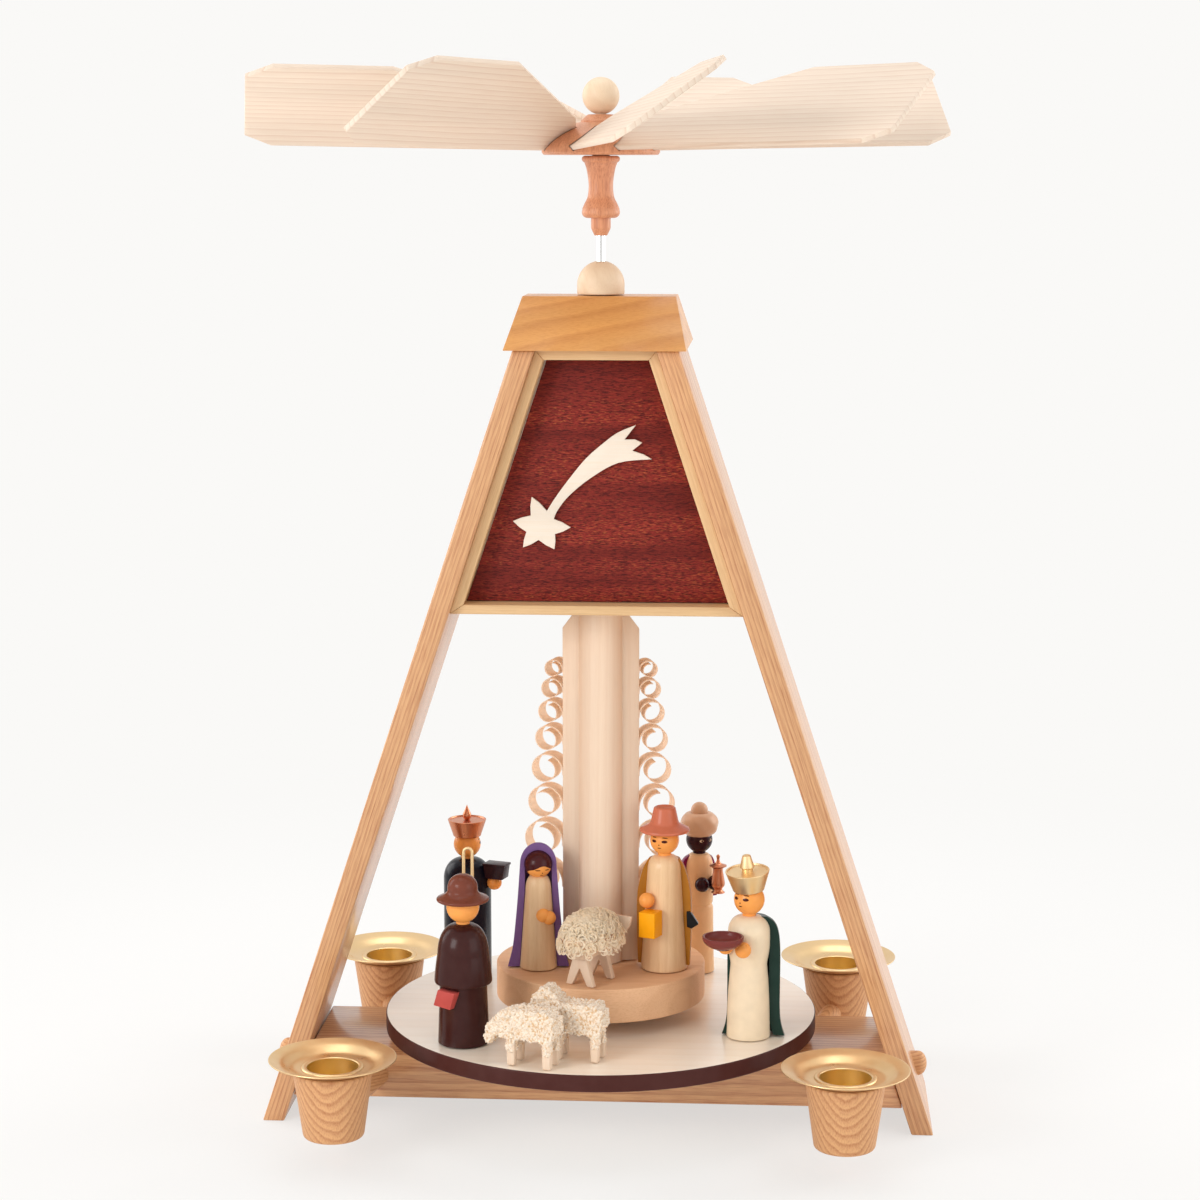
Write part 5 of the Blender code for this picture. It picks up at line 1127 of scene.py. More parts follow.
class Figure:
    """Sizes of a turned figure: where it stands and the radii and heights of its robe, neck and head."""

    def __init__(self, node, place, base, shoulder, shoulder_height, neck_height, head):
        self.place = Vector((place[0] * MM, place[1] * MM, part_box(node)[0].z))
        self.base, self.shoulder, self.head = base * MM, shoulder * MM, head * MM
        self.shoulder_height, self.neck_height = shoulder_height * MM, neck_height * MM
        self.head_height = self.neck_height + math.sqrt(self.head ** 2 - NECK ** 2)

    def beside(self, heading, distance, height):
        """A place at a distance from the figure's axis, in a direction and at a height above its foot."""
        way = Vector((math.cos(heading), math.sin(heading), 0))
        return self.place + way * distance * MM + UP * height * MM

    def robe(self, skirt=(), collar=1.0):
        """The robe from just below the head to the floor, as a part; skirt lists points in millimetres."""
        top = self.neck_height - collar * MM
        profile = [(0, top + 0.1 * MM), (NECK, top + 0.1 * MM)]
        profile += arc(
            (NECK, self.shoulder_height), (self.shoulder - NECK, top - self.shoulder_height),
            QUARTER * 0.95, 0, 14)
        profile += in_metres(skirt)
        profile += rounded([(self.base, 0.6 * MM), (self.base, 0), (0, 0)], 0.5 * MM)
        return (turned(profile, 64), 0, self.place)

    def head_ball(self):
        """The head on its neck, as a part in the second finish."""
        neck, low = NECK - 0.3 * MM, self.neck_height - 1.8 * MM
        last = -math.acos(neck / self.head)
        profile = arc((0, self.head_height), (self.head, self.head), QUARTER, last, 24)
        return (turned(profile + [(neck, low), (0, low)], 48), 1, self.place)

    def hand(self, heading, distance, height, radius=2.7):
        """A bead for a hand in the second finish."""
        return (ball(radius * MM, 28), 1, self.beside(heading, distance, height))

    def face(self, facing, level, closed=False):
        """Painted eyes, brows, nose and mouth in the third finish, at a level on the head."""
        middle = self.place + UP * self.head_height
        scale = self.head / 5
        spots = [(0, level - 0.25, 0.45, 0.40, 0), (0, level - 0.48, 1.3, 0.36, 0)]
        for side in (-1, 1):
            spots.append((side * 0.40, level, 2.1, 0.40 if closed else 1.0, 0))
            if not closed:
                spots.append((side * 0.43, level + 0.27, 2.0, 0.34, -side * 0.10))
        return [
            (dab(middle, self.head, facing + turn, rise, width * scale, height * scale, roll), 2, HERE)
            for turn, rise, width, height, roll in spots]

    def cape(self, line, depth, facing, number, opening=CAPE_OPENING, shift=0.0):
        """A cape round the back, from its outer line of (radius, height) points in millimetres."""
        outer = smooth_line(in_metres(line), 6)
        inner = [(max(radius - depth * MM, 0.0), height) for radius, height in reversed(outer)]
        shell = turned(outer + inner, 56, True, TURN - opening, facing + opening / 2)
        return (shell, number, self.beside(facing + QUARTER, shift, 0))

    def hat(self, outline, rim):
        """A hat from its top to its rim, in millimetres above the middle of the head, hollow for the head."""
        middle, radius = self.head_height, self.head + 0.15 * MM
        profile = [(reach, middle + height) for reach, height in in_metres(outline)]
        profile += arc((0, middle), (radius, radius), math.asin(rim * MM / radius), QUARTER, 10)
        return turned(profile, 64)

    def crown(self, rim, height, flare, finial):
        """A crown that flares upwards to a slightly sunk top with a finial on it."""
        top, low_radius = rim + height, self.head / MM
        high_radius = low_radius + flare
        sunk = top - 0.35
        outline = [(radius, sunk + rise) for radius, rise in finial]
        outline += [(high_radius - 0.9, sunk), (high_radius - 0.7, top)]
        band = (low_radius + 0.3, rim + 0.8)
        outline += rounded([(high_radius - 0.7, top), (high_radius, top), band], 0.3)[1:]
        outline += rounded([band, (low_radius + 0.1, rim), (low_radius - 0.2, rim)], 0.4)[1:]
        return self.hat(outline, rim)


class PYRAMID_OT_mother(bpy.types.Operator):
    """Build the mother with the hooded cape"""

    bl_idname = "pyramid.mother"
    bl_label = "Mother"

    def execute(self, context):
        doll = Figure(
            "mother_figure", (-20.9, -10.5), base=6.4, shoulder=4.5, shoulder_height=27.2,
            neck_height=32.5, head=4.7)
        facing = math.radians(-64)
        parts = [doll.robe(collar=0.2), doll.head_ball()]
        parts += [doll.hand(math.radians(-66), 5.0, 19.4, 2.4), doll.hand(math.radians(-46), 5.8, 18.5, 2.4)]
        parts += doll.face(facing, -0.28, closed=True)
        parts.append((self.hair(doll, facing), 3, HERE))
        add_piece(
            "mother", join(*parts), ["robe_wood", "skin", "feature", "hair"], "stand", ["mother_figure"])
        self.make_cape(doll, math.radians(-85))
        return {"FINISHED"}

    def hair(self, doll, facing):
        """A cap of painted hair with a waved edge, parted over the brow."""
        middle = doll.place + UP * doll.head_height
        sides, rings = 64, 10
        stacks = []
        for lift in (1.035, 1.0):
            stack = []
            for ring in range(rings + 1):
                loop = []
                for side in range(sides):
                    turn = TURN * side / sides
                    front = max(0.0, math.cos(turn))
                    edge = -0.65 + 0.60 * front ** 0.7 + 0.09 * math.cos(4 * turn) * front
                    rise = QUARTER * 0.98 + (edge - QUARTER * 0.98) * ring / rings
                    way = Vector((
                        math.cos(facing + turn) * math.cos(rise), math.sin(facing + turn) * math.cos(rise),
                        math.sin(rise)))
                    loop.append(middle + way * doll.head * lift)
                stack.append(loop)
            stacks.append(stack)
        return skin_rings(stacks[0] + stacks[1][::-1])

    def make_cape(self, doll, facing):
        """A thick hooded cape, open in front, that hugs the robe and widens to the floor."""
        middle, head = doll.head_height, doll.head + 0.2 * MM
        outside = arc((0, middle), (head + 1.4 * MM, head + 2.6 * MM), QUARTER, 0, 12)[:-1]
        outside += smooth_line([
            (head + 1.4 * MM, middle), (6.9 * MM, 0.76 * middle), (7.7 * MM, 0.5 * middle),
            (8.9 * MM, 0.2 * middle), (10.6 * MM, 0.3 * MM)], 6)
        inside = [(doll.base + 0.15 * MM, 0.3 * MM), (doll.shoulder + 0.2 * MM, doll.shoulder_height)]
        inside += arc((0, middle), (head, head), -0.3, QUARTER, 14)
        shape = turned(outside + inside, 64, True, TURN - CAPE_OPENING, facing + CAPE_OPENING / 2)
        add_piece(
            "hooded_cape", placed(shape, doll.place), ["purple"], "stand", ["mother_cape"],
            sharp=50)


class PYRAMID_OT_father(bpy.types.Operator):
    """Build the father with the broad-brimmed hat, the open cape and the lantern"""

    bl_idname = "pyramid.father"
    bl_label = "Father"

    def execute(self, context):
        doll = Figure(
            "father_figure", (22.5, -8.2), base=8.0, shoulder=5.8, shoulder_height=35.0,
            neck_height=40.8, head=5.0)
        parts = [doll.robe(), doll.head_ball(), doll.hand(math.radians(-132.5), 8.5, 25.2)]
        parts += doll.face(math.radians(-111), 0.08)
        line = [(5.4, 38.6), (7.3, 35), (8.7, 30), (9.4, 24.5), (9.4, 11), (9.0, 1.3)]
        parts.append(doll.cape(line, 3.6, math.radians(-97), 3))
        outline = [(-1.6, 3.0), (-0.4, 3.2), (2.6, -1.4), (0.2, -3.0), (-1.4, -2.4)]
        wedge = plate(in_metres(outline), -1.3 * MM, 1.3 * MM, 0.2 * MM, 2)
        parts.append((wedge, 4, doll.beside(math.radians(-8), 9.4, 17.4)))
        add_piece(
            "father", join(*parts), ["robe_wood", "skin", "feature", "mustard", "black"], "stand",
            ["father_figure"])
        self.make_hat(doll)
        low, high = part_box("father_lantern")
        lantern = rounded_box((6.0 * MM, 6.0 * MM, high.z - low.z - 0.8 * MM), 0.25 * MM)
        turn = Matrix.Rotation(math.radians(-24.2), 4, "Z")
        where = Matrix.Translation((low + high) / 2 + UP * 0.5 * MM) @ turn
        add_piece("lantern", placed(lantern, where), ["amber"], "stand", ["father_lantern"])
        return {"FINISHED"}

    def make_hat(self, doll):
        """A hat with a swept brim and a crown that narrows to a dimpled top."""
        outline = smooth_line([(0, 11.0), (2.2, 11.2), (3.2, 11.7)], 5)
        outline += rounded([(3.2, 11.7), (3.75, 11.4), (4.7, 7.0)], 0.4)[1:-1]
        outline += smooth_line([(4.7, 7.0), (5.3, 5.9), (6.8, 5.0), (8.5, 4.1)], 6)
        outline += arc((8.3, 3.6), (0.35, 0.45), 0.8, -QUARTER, 6)
        outline += smooth_line([(8.1, 3.2), (6.6, 3.5), (5.0, 3.2)], 4)
        shape = doll.hat(outline, 3.2)
        add_piece(
            "broad_hat", placed(shape, doll.place), ["terracotta"], "stand", ["father_hat"])


class PYRAMID_OT_manger(bpy.types.Operator):
    """Build the manger and heap it with straw"""

    bl_idname = "pyramid.manger"
    bl_label = "Manger"

    turn: degrees("Turn", "Direction of the manger's long side", 62)
    place_x: bpy.props.FloatProperty(
        name="Place X", description="Middle of the manger, to the right", subtype="DISTANCE",
        default=-1.7 * MM)
    place_y: bpy.props.FloatProperty(
        name="Place Y", description="Middle of the manger, to the back", subtype="DISTANCE",
        default=-26.2 * MM)

    def execute(self, context):
        spot = Matrix.Translation((self.place_x, self.place_y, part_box("manger")[0].z))
        where = spot @ Matrix.Rotation(self.turn, 4, "Z")
        across = where @ Matrix.Rotation(-QUARTER, 4, "Z")
        parts = [(self.trough(), 0, where)]
        legs = [(-5.4, 0), (-3.0, 0), (0, 6.0), (3.0, 0), (5.4, 0), (2.2, 11.1), (-2.2, 11.1)]
        end_board = [(-3.8, 12.1), (3.8, 12.1), (7.6, 17.0), (8.4, 20.4), (-8.4, 20.4), (-7.6, 17.0)]
        for outline, middle, thick in ((legs, -6.2, 2.2), (legs, 6.2, 2.2), (end_board, 13.1, 1.4)):
            near, far = (middle - thick / 2) * MM, (middle + thick / 2) * MM
            parts.append((plate(in_metres(outline), near, far, 0.25 * MM, 2), 0, across))
        add_piece("trough", join(*parts), ["maple"], "stand", ["manger"], where)
        self.make_straw(where)
        return {"FINISHED"}

    def ring(self, half_length, half_width, height):
        """An oval at a height, in millimetres."""
        loop = []
        for step in range(SMALL_STEPS):
            angle = TURN * step / SMALL_STEPS
            c, s = math.cos(angle), math.sin(angle)
            x = half_length * math.copysign(abs(c) ** 0.66, c)
            y = half_width * math.copysign(abs(s) ** 0.66, s)
            loop.append(Vector((x, y, height)) * MM)
        return loop

    def trough(self):
        """A flared trough with a thin rim."""
        rings = [
            (9.2, 3.5, 9.6), (9.6, 3.9, 9.8), (11.4, 5.8, 13.3), (13.1, 7.5, 17.0), (12.4, 6.8, 17.1),
            (9.4, 3.9, 13.3)]
        return skin_rings([self.ring(*ring) for ring in rings])

    def make_straw(self, where):
        """A heap of wood wool: a lumpy core with curled strands strewn over it and down over the rim."""
        chance = random.Random(12)
        top = (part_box("manger_straw")[1].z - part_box("manger")[0].z) / MM
        rim, rise, reach, span = 16.2, top - 18.2, 12.8, 8.8
        core = [self.ring(9.0, 3.6, 13.6), self.ring(12.0, 6.4, 17.2)]
        for share in (1.0, 0.92, 0.75, 0.5, 0.2):
            height = rim + (rise - 1.6) * math.sqrt(1 - share ** 2) + 0.8
            core.append(self.ring((reach - 1.2) * share, (span - 1.2) * share, height))
        parts = [(skin_rings(core), 0, where)]
        for _ in range(sizes().straw_count):
            angle, far = chance.uniform(0, TURN), math.sqrt(chance.random()) * 1.12
            hang = max(0.0, far - 0.86) * chance.uniform(0, 20)
            height = rim + rise * math.sqrt(max(0.0, 1 - far * far)) - hang
            spot = Vector((far * reach * math.cos(angle), far * span * math.sin(angle), height)) * MM
            parts.append((self.strand(spot, angle, far, chance), 0, where))
        add_piece("wood_wool", join(*parts), ["straw"], "stand", ["manger_straw"], sharp=60)

    def strand(self, middle, side, far, chance):
        """A flat strand, curled up about a point of the heap and leaning with its slope."""
        outward_way = Vector((math.cos(side), math.sin(side), 0)) * far
        over = (outward_way + UP * max(0.25, 1.1 - far)).normalized()
        first = over.orthogonal().normalized()
        first.rotate(Matrix.Rotation(chance.uniform(0, TURN), 3, over))
        second = over.cross(first)
        curl = sizes().straw_length * chance.uniform(0.10, 0.24)
        sweep = chance.uniform(2.2, 5.2)
        lift = chance.uniform(0.1, 0.6) * MM
        width, thick = sizes().straw_width * chance.uniform(0.6, 1.2) / 2, 0.06 * MM
        tilt = chance.uniform(0.8, 1.5)
        loops = []
        steps = 8
        for step in range(steps + 1):
            share = step / steps
            angle = sweep * (share - 0.5)
            spoke = first * math.cos(angle) + second * math.sin(angle)
            flat = over * math.cos(tilt) + spoke * math.sin(tilt)
            away = over * math.sin(tilt) - spoke * math.cos(tilt)
            spot = middle + spoke * curl * (1 - 0.35 * share) + over * lift * share * 2
            loops.append([
                spot + flat * edge * width + away * face * thick
                for edge, face in CORNERS])
        return skin_rings(loops)


class PYRAMID_OT_shepherd(bpy.types.Operator):
    """Build the shepherd with hat, bag and crook"""

    bl_idname = "pyramid.shepherd"
    bl_label = "Shepherd"

    def execute(self, context):
        doll = Figure(
            "shepherd_figure", (-43.3, -43.0), base=8.6, shoulder=8.6, shoulder_height=31.0,
            neck_height=41.8, head=5.5)
        skirt = smooth_line([(8.62, 30.8), (9.3, 26), (9.7, 21.5)], 5)
        skirt += rounded([(9.7, 21.5), (9.5, 20.7), (8.2, 20.5)], 0.4)[1:] + [(7.95, 19.7)]
        parts = [doll.robe(skirt), doll.head_ball()]
        parts += doll.face(math.radians(62), 0.1)
        outline = [(-4.2, -2.6), (2.6, -3.2), (4.4, 2.6), (-2.4, 3.0)]
        bag = plate(in_metres(outline), -1.6 * MM, 1.6 * MM, 0.25 * MM, 2)
        bag_place = Matrix.Translation(doll.beside(math.radians(-124), 8.8, 16.9))
        parts.append((bag, 3, bag_place @ Matrix.Rotation(-0.5, 4, "Z")))
        add_piece(
            "shepherd", join(*parts), ["brown", "skin", "feature", "salmon"], "carousel", ["shepherd_figure"])
        self.make_hat(doll)
        self.make_crook()
        return {"FINISHED"}

    def make_hat(self, doll):
        """A round hat with a brim turned down at the edge."""
        outline = arc((0, 6.9), (5.0, 4.3), QUARTER, 0.06, 14)
        outline += smooth_line([(5.05, 6.6), (5.2, 5.2), (6.2, 4.2), (8.0, 3.3)], 6)
        outline += arc((8.2, 2.6), (0.6, 0.6), QUARTER, -QUARTER, 8)
        outline += smooth_line([(8.0, 2.0), (6.6, 2.5), (5.2, 2.7)], 4)
        shape = doll.hat(outline, 2.7)
        add_piece(
            "round_hat", placed(shape, doll.place), ["brown_hat"], "carousel", ["shepherd_hat"])

    def make_crook(self):
        """A bent wire crook behind the shepherd."""
        low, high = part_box("shepherd_crook")
        radius = 0.55 * MM
        loop = (high.x - low.x) / 2 - radius
        top = high.z - loop - radius
        line = [(-loop, low.z), (-loop, (low.z + top) / 2), (-loop, top - 1 * MM)]
        line += arc((0, top), (loop, loop), math.pi, 0, 14)
        line += [(loop, top - 3 * MM), (loop, top - 11 * MM)]
        where = upright("shepherd_crook")
        shape = tube([Vector((x, 0, z)) for x, z in line], radius)
        add_piece(
            "crook", placed(shape, where), ["gold"], "carousel", ["shepherd_crook"])


class PYRAMID_OT_blue_king(bpy.types.Operator):
    """Build the king in the dark robe with the chest"""

    bl_idname = "pyramid.blue_king"
    bl_label = "King with the chest"

    def execute(self, context):
        doll = Figure(
            "blue_king_figure", (-51.1, 38.0), base=8.6, shoulder=8.6, shoulder_height=35.5,
            neck_height=43.8, head=4.9)
        side = math.radians(-18)
        parts = [doll.robe(), doll.head_ball(), doll.hand(side, 10.7, 34.6)]
        parts += doll.face(math.radians(18), 0.15)
        outline = [(-3.4, -2.6), (3.4, -2.6), (4.1, 2.2), (-4.1, 2.2)]
        chest = plate(in_metres(outline), -2.8 * MM, 2.8 * MM, 0.25 * MM, 2)
        lid = rounded_box((8.7 * MM, 6.1 * MM, 0.9 * MM), 0.25 * MM)
        where = Matrix.Translation(doll.beside(side, 11.6, 39.0)) @ Matrix.Rotation(side, 4, "Z")
        parts += [(chest, 3, where), (lid, 3, where @ Matrix.Translation((0, 0, 2.5 * MM)))]
        add_piece(
            "blue_king", join(*parts), ["navy", "skin", "feature", "plum"], "carousel", ["blue_king_figure"])
        drop = smooth_line([(0, 5.7), (0.6, 4.2), (1.6, 1.9), (1.2, 0.6), (0.8, 0)], 4)
        crown = doll.crown(0.64 * 4.9, 6.1, 2.1, drop)
        add_piece(
            "copper_crown", placed(crown, doll.place), ["copper"], "carousel", ["blue_king_crown"],
            Matrix.Translation(doll.place))
        return {"FINISHED"}


class PYRAMID_OT_turban_king(bpy.types.Operator):
    """Build the king with the turban and the vessel"""

    bl_idname = "pyramid.turban_king"
    bl_label = "King with the turban"

    def execute(self, context):
        doll = Figure(
            "turban_king_figure", (32.8, 46.0), base=5.7, shoulder=5.1, shoulder_height=38.5,
            neck_height=45.0, head=4.8)
        facing = math.radians(-55)
        skirt = smooth_line([(5.1, 38.3), (5.25, 33), (5.1, 26.6)], 5)
        skirt += rounded([(5.1, 26.6), (5.0, 25.8), (4.6, 25.2), (5.0, 24.6), (5.2, 23.8)], 0.4)[1:]
        skirt.append((5.4, 12))
        parts = [doll.robe(skirt), doll.head_ball()]
        for way in (-0.40, 0.40):
            parts.append(doll.hand(facing + way, 6.7, 33.8))
        parts += self.eyes(doll, facing)
        line = [(3.4, 43.6), (5.9, 41.8), (7.4, 38), (8.0, 33), (8.0, 27)]
        parts.append(doll.cape(line, 2.0, facing - 0.05, 4, math.radians(190)))
        add_piece(
            "turban_king", join(*parts), ["tan", "dark_skin", "cream", "feature", "magenta"], "carousel",
            ["turban_king_figure"])
        self.make_turban(doll)
        self.make_vessel()
        return {"FINISHED"}

    def eyes(self, doll, facing):
        """Pale eyes with dark pupils."""
        middle = doll.place + UP * doll.head_height
        parts = []
        for side in (-1, 1):
            for radius, turn, width, height, number in (
                    (doll.head, 0.40, 1.5, 0.95, 2), (doll.head * 1.012, 0.35, 0.75, 0.75, 3)):
                spot = dab(middle, radius, facing + side * turn, 0.08, width * MM, height * MM)
                parts.append((spot, number, HERE))
        return parts

    def make_turban(self, doll):
        """A turban wound in soft rolls, with a knob on top."""
        outline = arc((0, 10.8), (3.1, 3.1), QUARTER, -0.25, 10)
        outline += arc((3.2, 5.9), (3.7, 4.3), QUARTER * 0.92, -QUARTER * 0.9, 16)
        shape = doll.hat(outline, 1.8)
        for vertex in shape.verts:
            if vertex.co.xy.length > doll.head + 0.5 * MM:
                turn = math.atan2(vertex.co.y, vertex.co.x)
                swell = 1 + 0.022 * math.sin(7 * turn + vertex.co.z / (1.1 * MM))
                vertex.co.x *= swell
                vertex.co.y *= swell
        add_piece(
            "wound_turban", placed(shape, doll.place), ["turban"], "carousel", ["turban_king_turban"])

    def make_vessel(self):
        """A lidded vessel with a foot and a flared rim."""
        low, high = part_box("turban_king_vessel")
        radius, height = (high.x - low.x) / 2, high.z - low.z
        belly = 0.80 * radius
        lid = smooth_line([
            (0, height), (0.22 * radius, 0.95 * height), (0.16 * radius, 0.86 * height),
            (0.4 * radius, 0.76 * height), (radius, 0.71 * height)], 5)
        body = smooth_line([
            (radius, 0.69 * height), (0.56 * radius, 0.62 * height), (0.66 * radius, 0.44 * height),
            (belly, 0.22 * height), (0.48 * radius, 0.09 * height), (belly, 0.01 * height)], 6)
        middle = middle_of("turban_king_vessel")
        where = Matrix.Translation((middle.x + 0.8 * MM, middle.y, low.z + 1.8 * MM))
        add_piece(
            "vessel", placed(turned(lid + body + [(belly, 0), (0, 0)], 40), where), ["copper"], "carousel",
            ["turban_king_vessel"], where)


class PYRAMID_OT_crowned_king(bpy.types.Operator):
    """Build the king in the pale robe with the long cape and the bowl"""

    bl_idname = "pyramid.crowned_king"
    bl_label = "King with the bowl"

    def execute(self, context):
        doll = Figure(
            "crowned_king_figure", (52.0, -30.0), base=7.4, shoulder=7.1, shoulder_height=36.5,
            neck_height=42.8, head=5.2)
        facing = math.radians(-126)
        skirt = smooth_line([(7.1, 36.3), (7.05, 31), (6.2, 25.6)], 6)
        skirt += smooth_line([(6.2, 24.8), (6.7, 19), (7.1, 12), (7.3, 3)], 6)
        parts = [doll.robe(skirt), doll.head_ball()]
        for way in (-0.42, 0.42):
            parts.append(doll.hand(facing + way, 8.99, 32.1))
        parts += doll.face(facing, 0.2)
        line = [
            (4.4, 41.5), (6.8, 39.8), (8.28, 36.5), (8.9, 30), (8.9, 18), (8.95, 9), (9.5, 4.2), (10.6, 0.5)]
        parts.append(doll.cape(line, 3.7, math.radians(-92), 3, shift=1.7))
        add_piece(
            "crowned_king", join(*parts), ["cream", "skin", "feature", "green"], "carousel",
            ["crowned_king_figure"])
        cone = rounded([(0, 5.75), (1.35, 5.75), (2.5, 1.5), (1.8, 1.25), (1.8, 0.9), (1.8, 0)], 0.35)
        crown = doll.crown(0.68 * 5.2, 6.8, 2.3, cone)
        middle = Matrix.Translation(UP * doll.head_height)
        bowed = Euler((math.radians(6), math.radians(-4), 0)).to_matrix().to_4x4()
        where = Matrix.Translation(doll.place) @ middle @ bowed @ middle.inverted()
        add_piece(
            "gold_crown", placed(crown, where), ["gold"], "carousel", ["crowned_king_crown"],
            where)
        self.make_bowl()
        return {"FINISHED"}

    def make_bowl(self):
        """A shallow turned bowl on a small foot."""
        low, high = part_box("crowned_king_bowl")
        radius, height, wall = (high.x - low.x) / 2, high.z - low.z, 0.9 * MM
        inside = arc((0, height), (radius - wall, height - wall), -QUARTER, -0.05, 12)
        lip = arc((radius - wall / 2, height), (wall / 2, 0.35 * MM), math.pi, 0, 6)
        outside = arc((0, height), (radius, height), -0.05, -0.74 * QUARTER, 10)
        foot = rounded([(0.35 * radius, 0.2 * MM), (0.35 * radius, 0), (0, 0)], 0.2 * MM)
        where = upright("crowned_king_bowl", low.z + 1.3 * MM)
        shape = turned(inside + lip[1:-1] + outside + foot, 56)
        add_piece(
            "offered_bowl", placed(shape, where), ["bowl"], "carousel", ["crowned_king_bowl"],
            where)


class PYRAMID_OT_sheep(bpy.types.Operator):
    """Build the grazing and the standing sheep"""

    bl_idname = "pyramid.sheep"
    bl_label = "Sheep"

    sheep_length: length("Sheep length", "From rump to chest", 24.5)
    back: length("Back height", "Height of a sheep's back", 19.5)
    belly: length("Belly height", "Height of a sheep's belly", 8.8)

    def execute(self, context):
        half, back = self.sheep_length / 2, self.back
        grazing = [(-0.60, 0.90), (-1.00, 0.66), (-1.10, 0.36), (-0.92, 0.30), (-0.72, 0.50)]
        standing = [(-0.45, 1.16), (-0.68, 1.25), (-1.08, 1.00), (-1.02, 0.88), (-0.75, 0.86), (-0.62, 0.60)]
        for name, head, place, heading in (
                ("grazing_sheep", grazing, (-20.5, -64.8), -20),
                ("standing_sheep", standing, (-6.0, -57.0), -14)):
            spot = Vector((place[0] * MM, place[1] * MM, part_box(name)[0].z))
            where = Matrix.Translation(spot) @ Matrix.Rotation(math.radians(heading), 4, "Z")
            self.make_fleece(name, [(x * half, z * back) for x, z in head], where)
            self.make_legs(name, where)
        return {"FINISHED"}

    def leg_places(self):
        """Where the four legs stand, seen from the middle of the sheep."""
        half = self.sheep_length / 2
        return [(x, y) for x in (-0.28 * half, 0.76 * half) for y in (-3.0 * MM, 3.0 * MM)]

    def make_fleece(self, name, head, where):
        """A flocked body down to the knees, lumpy all over."""
        half, back, belly = self.sheep_length / 2, self.back, self.belly
        trunk = [
            (-0.50 * half, 0.44 * back), (-0.1 * half, belly), (0.4 * half, belly),
            (0.80 * half, 0.42 * back), (half, 0.62 * back), (0.98 * half, 0.86 * back),
            (0.82 * half, 0.98 * back), (-0.2 * half, 0.97 * back)]
        outline = rounded(trunk + head, 1.2 * MM, 2, closed=True)
        parts = [(plate(outline, -4.3 * MM, 4.3 * MM, 1.5 * MM, 3), 0, HERE)]
        for x, y in self.leg_places():
            thigh = tube([Vector((x, y, 4.8 * MM)), Vector((x, y, 11 * MM))], 1.75 * MM, 10)
            parts.append((thigh, 0, HERE))
        fleece = add_piece(name + "_fleece", join(*parts), ["fleece"], "carousel", [name])
        remesh = fleece.modifiers.new("flock", "REMESH")
        remesh.mode = "VOXEL"
        remesh.voxel_size = 0.30 * MM
        remesh.use_smooth_shade = True
        for label, size, depth in (("locks", 1.9, 1.5), ("grains", 0.7, 1.5)):
            grain = bpy.data.textures.new(name + "_" + label, "CLOUDS")
            grain.noise_scale = size * MM
            grain.noise_depth = 2
            lumps = fleece.modifiers.new(label, "DISPLACE")
            lumps.texture = grain
            lumps.texture_coords = "LOCAL"
            lumps.strength = depth * sizes().fleece_lump
            lumps.mid_level = 0.5
        fleece.matrix_world = where
        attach(fleece, "carousel")

    def make_legs(self, name, where):
        """The bare lower half of the legs."""
        legs = []
        for x, y in self.leg_places():
            peg = rounded_box((3.2 * MM, 2.7 * MM, 8 * MM), 0.6 * MM)
            for vertex in peg.verts:
                slim = 1 - 0.16 * (0.5 - vertex.co.z / (8 * MM))
                vertex.co.x *= slim
                vertex.co.y *= slim
            legs.append((peg, 0, where @ Matrix.Translation((x, y, 4 * MM))))
        add_piece(name + "_legs", join(*legs), ["maple"], "carousel", [name], where)


# The stage

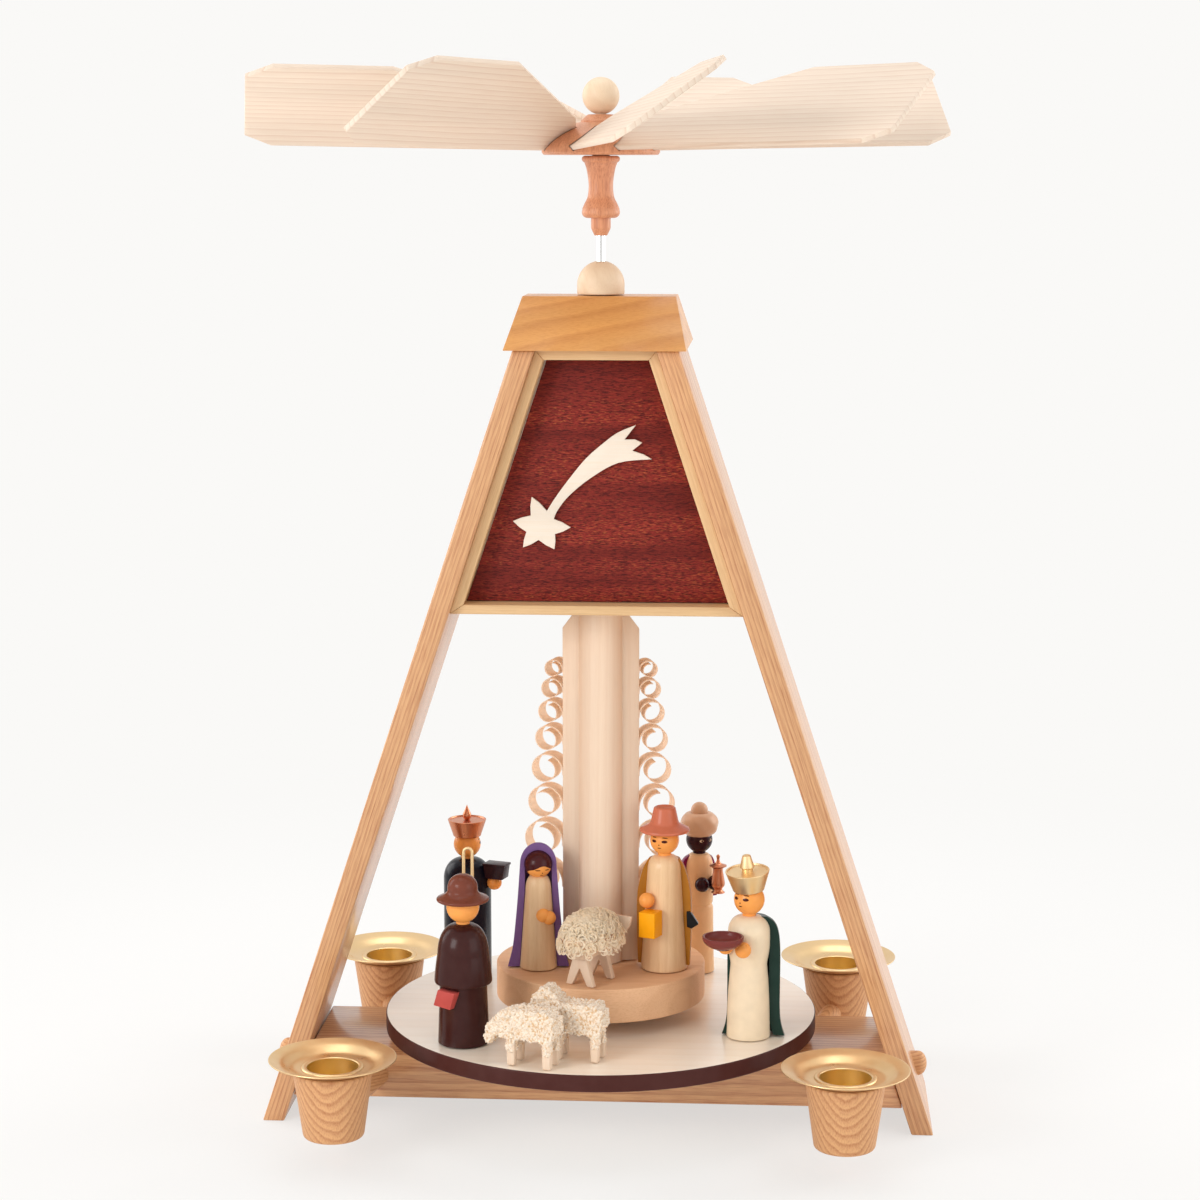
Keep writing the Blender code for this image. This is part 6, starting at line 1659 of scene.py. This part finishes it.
class PYRAMID_OT_stage(bpy.types.Operator):
    """Build the floor, the lamps, the background and the camera"""

    bl_idname = "pyramid.stage"
    bl_label = "Stage"

    camera_place: bpy.props.FloatVectorProperty(
        name="Camera place", description="Where the camera stands", subtype="TRANSLATION", unit="LENGTH",
        default=(0.06208, -0.93167, 0.3241))
    camera_tilt: degrees("Camera tilt", "Angle of the camera from looking straight down", 81.152)
    camera_turn: degrees("Camera turn", "Turn of the camera to the left", 3.83)
    lens: bpy.props.FloatProperty(
        name="Lens", description="Focal length of the camera", subtype="DISTANCE_CAMERA", default=82.76)

    def execute(self, context):
        scene = context.scene
        scene.view_settings.view_transform = "Standard"
        self.make_floor()
        self.make_world(scene)
        self.make_lamps()
        data = bpy.data.cameras.new("camera")
        data.lens = self.lens
        data.sensor_width = 36
        camera = bpy.data.objects.new("camera", data)
        camera.location = self.camera_place
        camera.rotation_euler = (self.camera_tilt, 0, self.camera_turn)
        scene.collection.objects.link(camera)
        scene.camera = camera
        return {"FINISHED"}

    def seen(self, tree):
        """One where the camera looks, straight or by a mirror image, nought for light that only bounces."""
        path = add_node(tree, "LightPath").outputs
        shown = path["Is Camera Ray"]
        for way in ("Is Glossy Ray", "Is Transmission Ray"):
            shown = add_node(tree, "Math", {0: shown, 1: path[way]}, operation="MAXIMUM").outputs[0]
        return shown

    def make_floor(self):
        """A wide pale floor that keeps the soft shadow."""
        shape = bmesh.new()
        bmesh.ops.create_grid(shape, x_segments=1, y_segments=1, size=6.0)
        mesh = bpy.data.meshes.new("floor")
        shape.to_mesh(mesh)
        shape.free()
        floor = bpy.data.objects.new("floor", mesh)
        bpy.context.scene.collection.objects.link(floor)
        material, tree, shader = blank("floor", 0.9)
        pale = (*colours().backdrop, 1.0)
        shader.inputs["Base Color"].default_value = pale
        glow = add_node(tree, "Emission", {"Color": pale, "Strength": 0.66})
        dim = add_node(tree, "BsdfDiffuse", {"Color": (0.29, 0.29, 0.29, 1.0)})
        lit = add_node(tree, "AddShader", {0: glow.outputs[0], 1: dim.outputs[0]})
        place = add_node(tree, "TexCoord").outputs["Object"]
        far = add_node(tree, "VectorMath", {0: place}, operation="LENGTH").outputs["Value"]
        near, wide = 0.18, 0.55
        fade = carried_over(tree, far, near, wide, 0.0, 1.0, interpolation_type="SMOOTHSTEP")
        bare = add_node(tree, "Emission", {"Color": pale, "Strength": 1.0})
        shown = add_node(tree, "MixShader", {0: fade, 1: lit.outputs[0], 2: bare.outputs[0]})
        choice = add_node(tree, "MixShader", {0: self.seen(tree), 1: shader.outputs[0], 2: shown.outputs[0]})
        tree.links.new(choice.outputs[0], tree.nodes["Material Output"].inputs["Surface"])
        mesh.materials.append(material)

    def make_world(self, scene):
        """An even pale surround."""
        world = bpy.data.worlds.new("surround")
        world.use_nodes = True
        tree = world.node_tree
        back = tree.nodes["Background"]
        back.inputs["Color"].default_value = (1.0, 0.985, 0.96, 1.0)
        back.inputs["Strength"].default_value = 0.55
        shown = add_node(tree, "Background", {"Color": (*colours().backdrop, 1.0), "Strength": 1.0})
        choice = add_node(tree, "MixShader", {0: self.seen(tree), 1: back.outputs[0], 2: shown.outputs[0]})
        tree.links.new(choice.outputs[0], tree.nodes["World Output"].inputs["Surface"])
        scene.world = world

    def make_lamps(self):
        """A soft key from the front left, a fill from the right, a light behind each side and one above."""
        aim = Vector((0, 0, 0.17))
        for name, place, size, power in (
                ("key", (-0.90, -1.00, 0.55), 0.6, 9.0), ("fill", (1.1, -0.75, 0.45), 0.9, 3.5),
                ("left", (-0.95, 0.45, 0.50), 0.7, 4.0), ("right", (0.95, 0.45, 0.50), 0.7, 5.0),
                ("top", (0.0, 0.15, 1.25), 0.9, 5.2)):
            data = bpy.data.lights.new(name, "AREA")
            data.size = size
            data.energy = power
            lamp = bpy.data.objects.new(name, data)
            lamp.location = place
            lamp.rotation_euler = (aim - Vector(place)).to_track_quat("-Z", "Y").to_euler()
            bpy.context.scene.collection.objects.link(lamp)


OPERATORS = (
    PYRAMID_OT_legs, PYRAMID_OT_beam, PYRAMID_OT_cups, PYRAMID_OT_box, PYRAMID_OT_roof, PYRAMID_OT_column,
    PYRAMID_OT_turntable, PYRAMID_OT_wheel, PYRAMID_OT_mother, PYRAMID_OT_father, PYRAMID_OT_manger,
    PYRAMID_OT_shepherd, PYRAMID_OT_blue_king, PYRAMID_OT_turban_king, PYRAMID_OT_crowned_king,
    PYRAMID_OT_sheep, PYRAMID_OT_stage)


class PYRAMID_PT_sidebar(bpy.types.Panel):
    """Lists the pieces of the pyramid"""

    bl_idname = "PYRAMID_PT_sidebar"
    bl_label = "Christmas Pyramid"
    bl_space_type = "VIEW_3D"
    bl_region_type = "UI"
    bl_category = "Pyramid"

    def draw(self, context):
        layout = self.layout
        for operator in OPERATORS:
            layout.operator(operator.bl_idname)
        for group, title in ((sizes(), "Sizes"), (colours(), "Colours")):
            layout.label(text=title)
            for name in group.bl_rna.properties.keys():
                if name not in ("name", "rna_type"):
                    layout.prop(group, name)


CLASSES = (PyramidSizes, PyramidColours) + OPERATORS + (PYRAMID_PT_sidebar,)


def register():
    """Make the operators, the settings and the sidebar known."""
    for kind in CLASSES:
        bpy.utils.register_class(kind)
    bpy.types.Scene.pyramid_sizes = bpy.props.PointerProperty(type=PyramidSizes)
    bpy.types.Scene.pyramid_colours = bpy.props.PointerProperty(type=PyramidColours)


def unregister():
    """Take back what register made known."""
    del bpy.types.Scene.pyramid_sizes
    del bpy.types.Scene.pyramid_colours
    for kind in reversed(CLASSES):
        bpy.utils.unregister_class(kind)


def main():
    """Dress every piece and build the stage."""
    register()
    for operator in OPERATORS:
        family, name = operator.bl_idname.split(".")
        getattr(getattr(bpy.ops, family), name)()


if __name__ == "__main__":
    main()
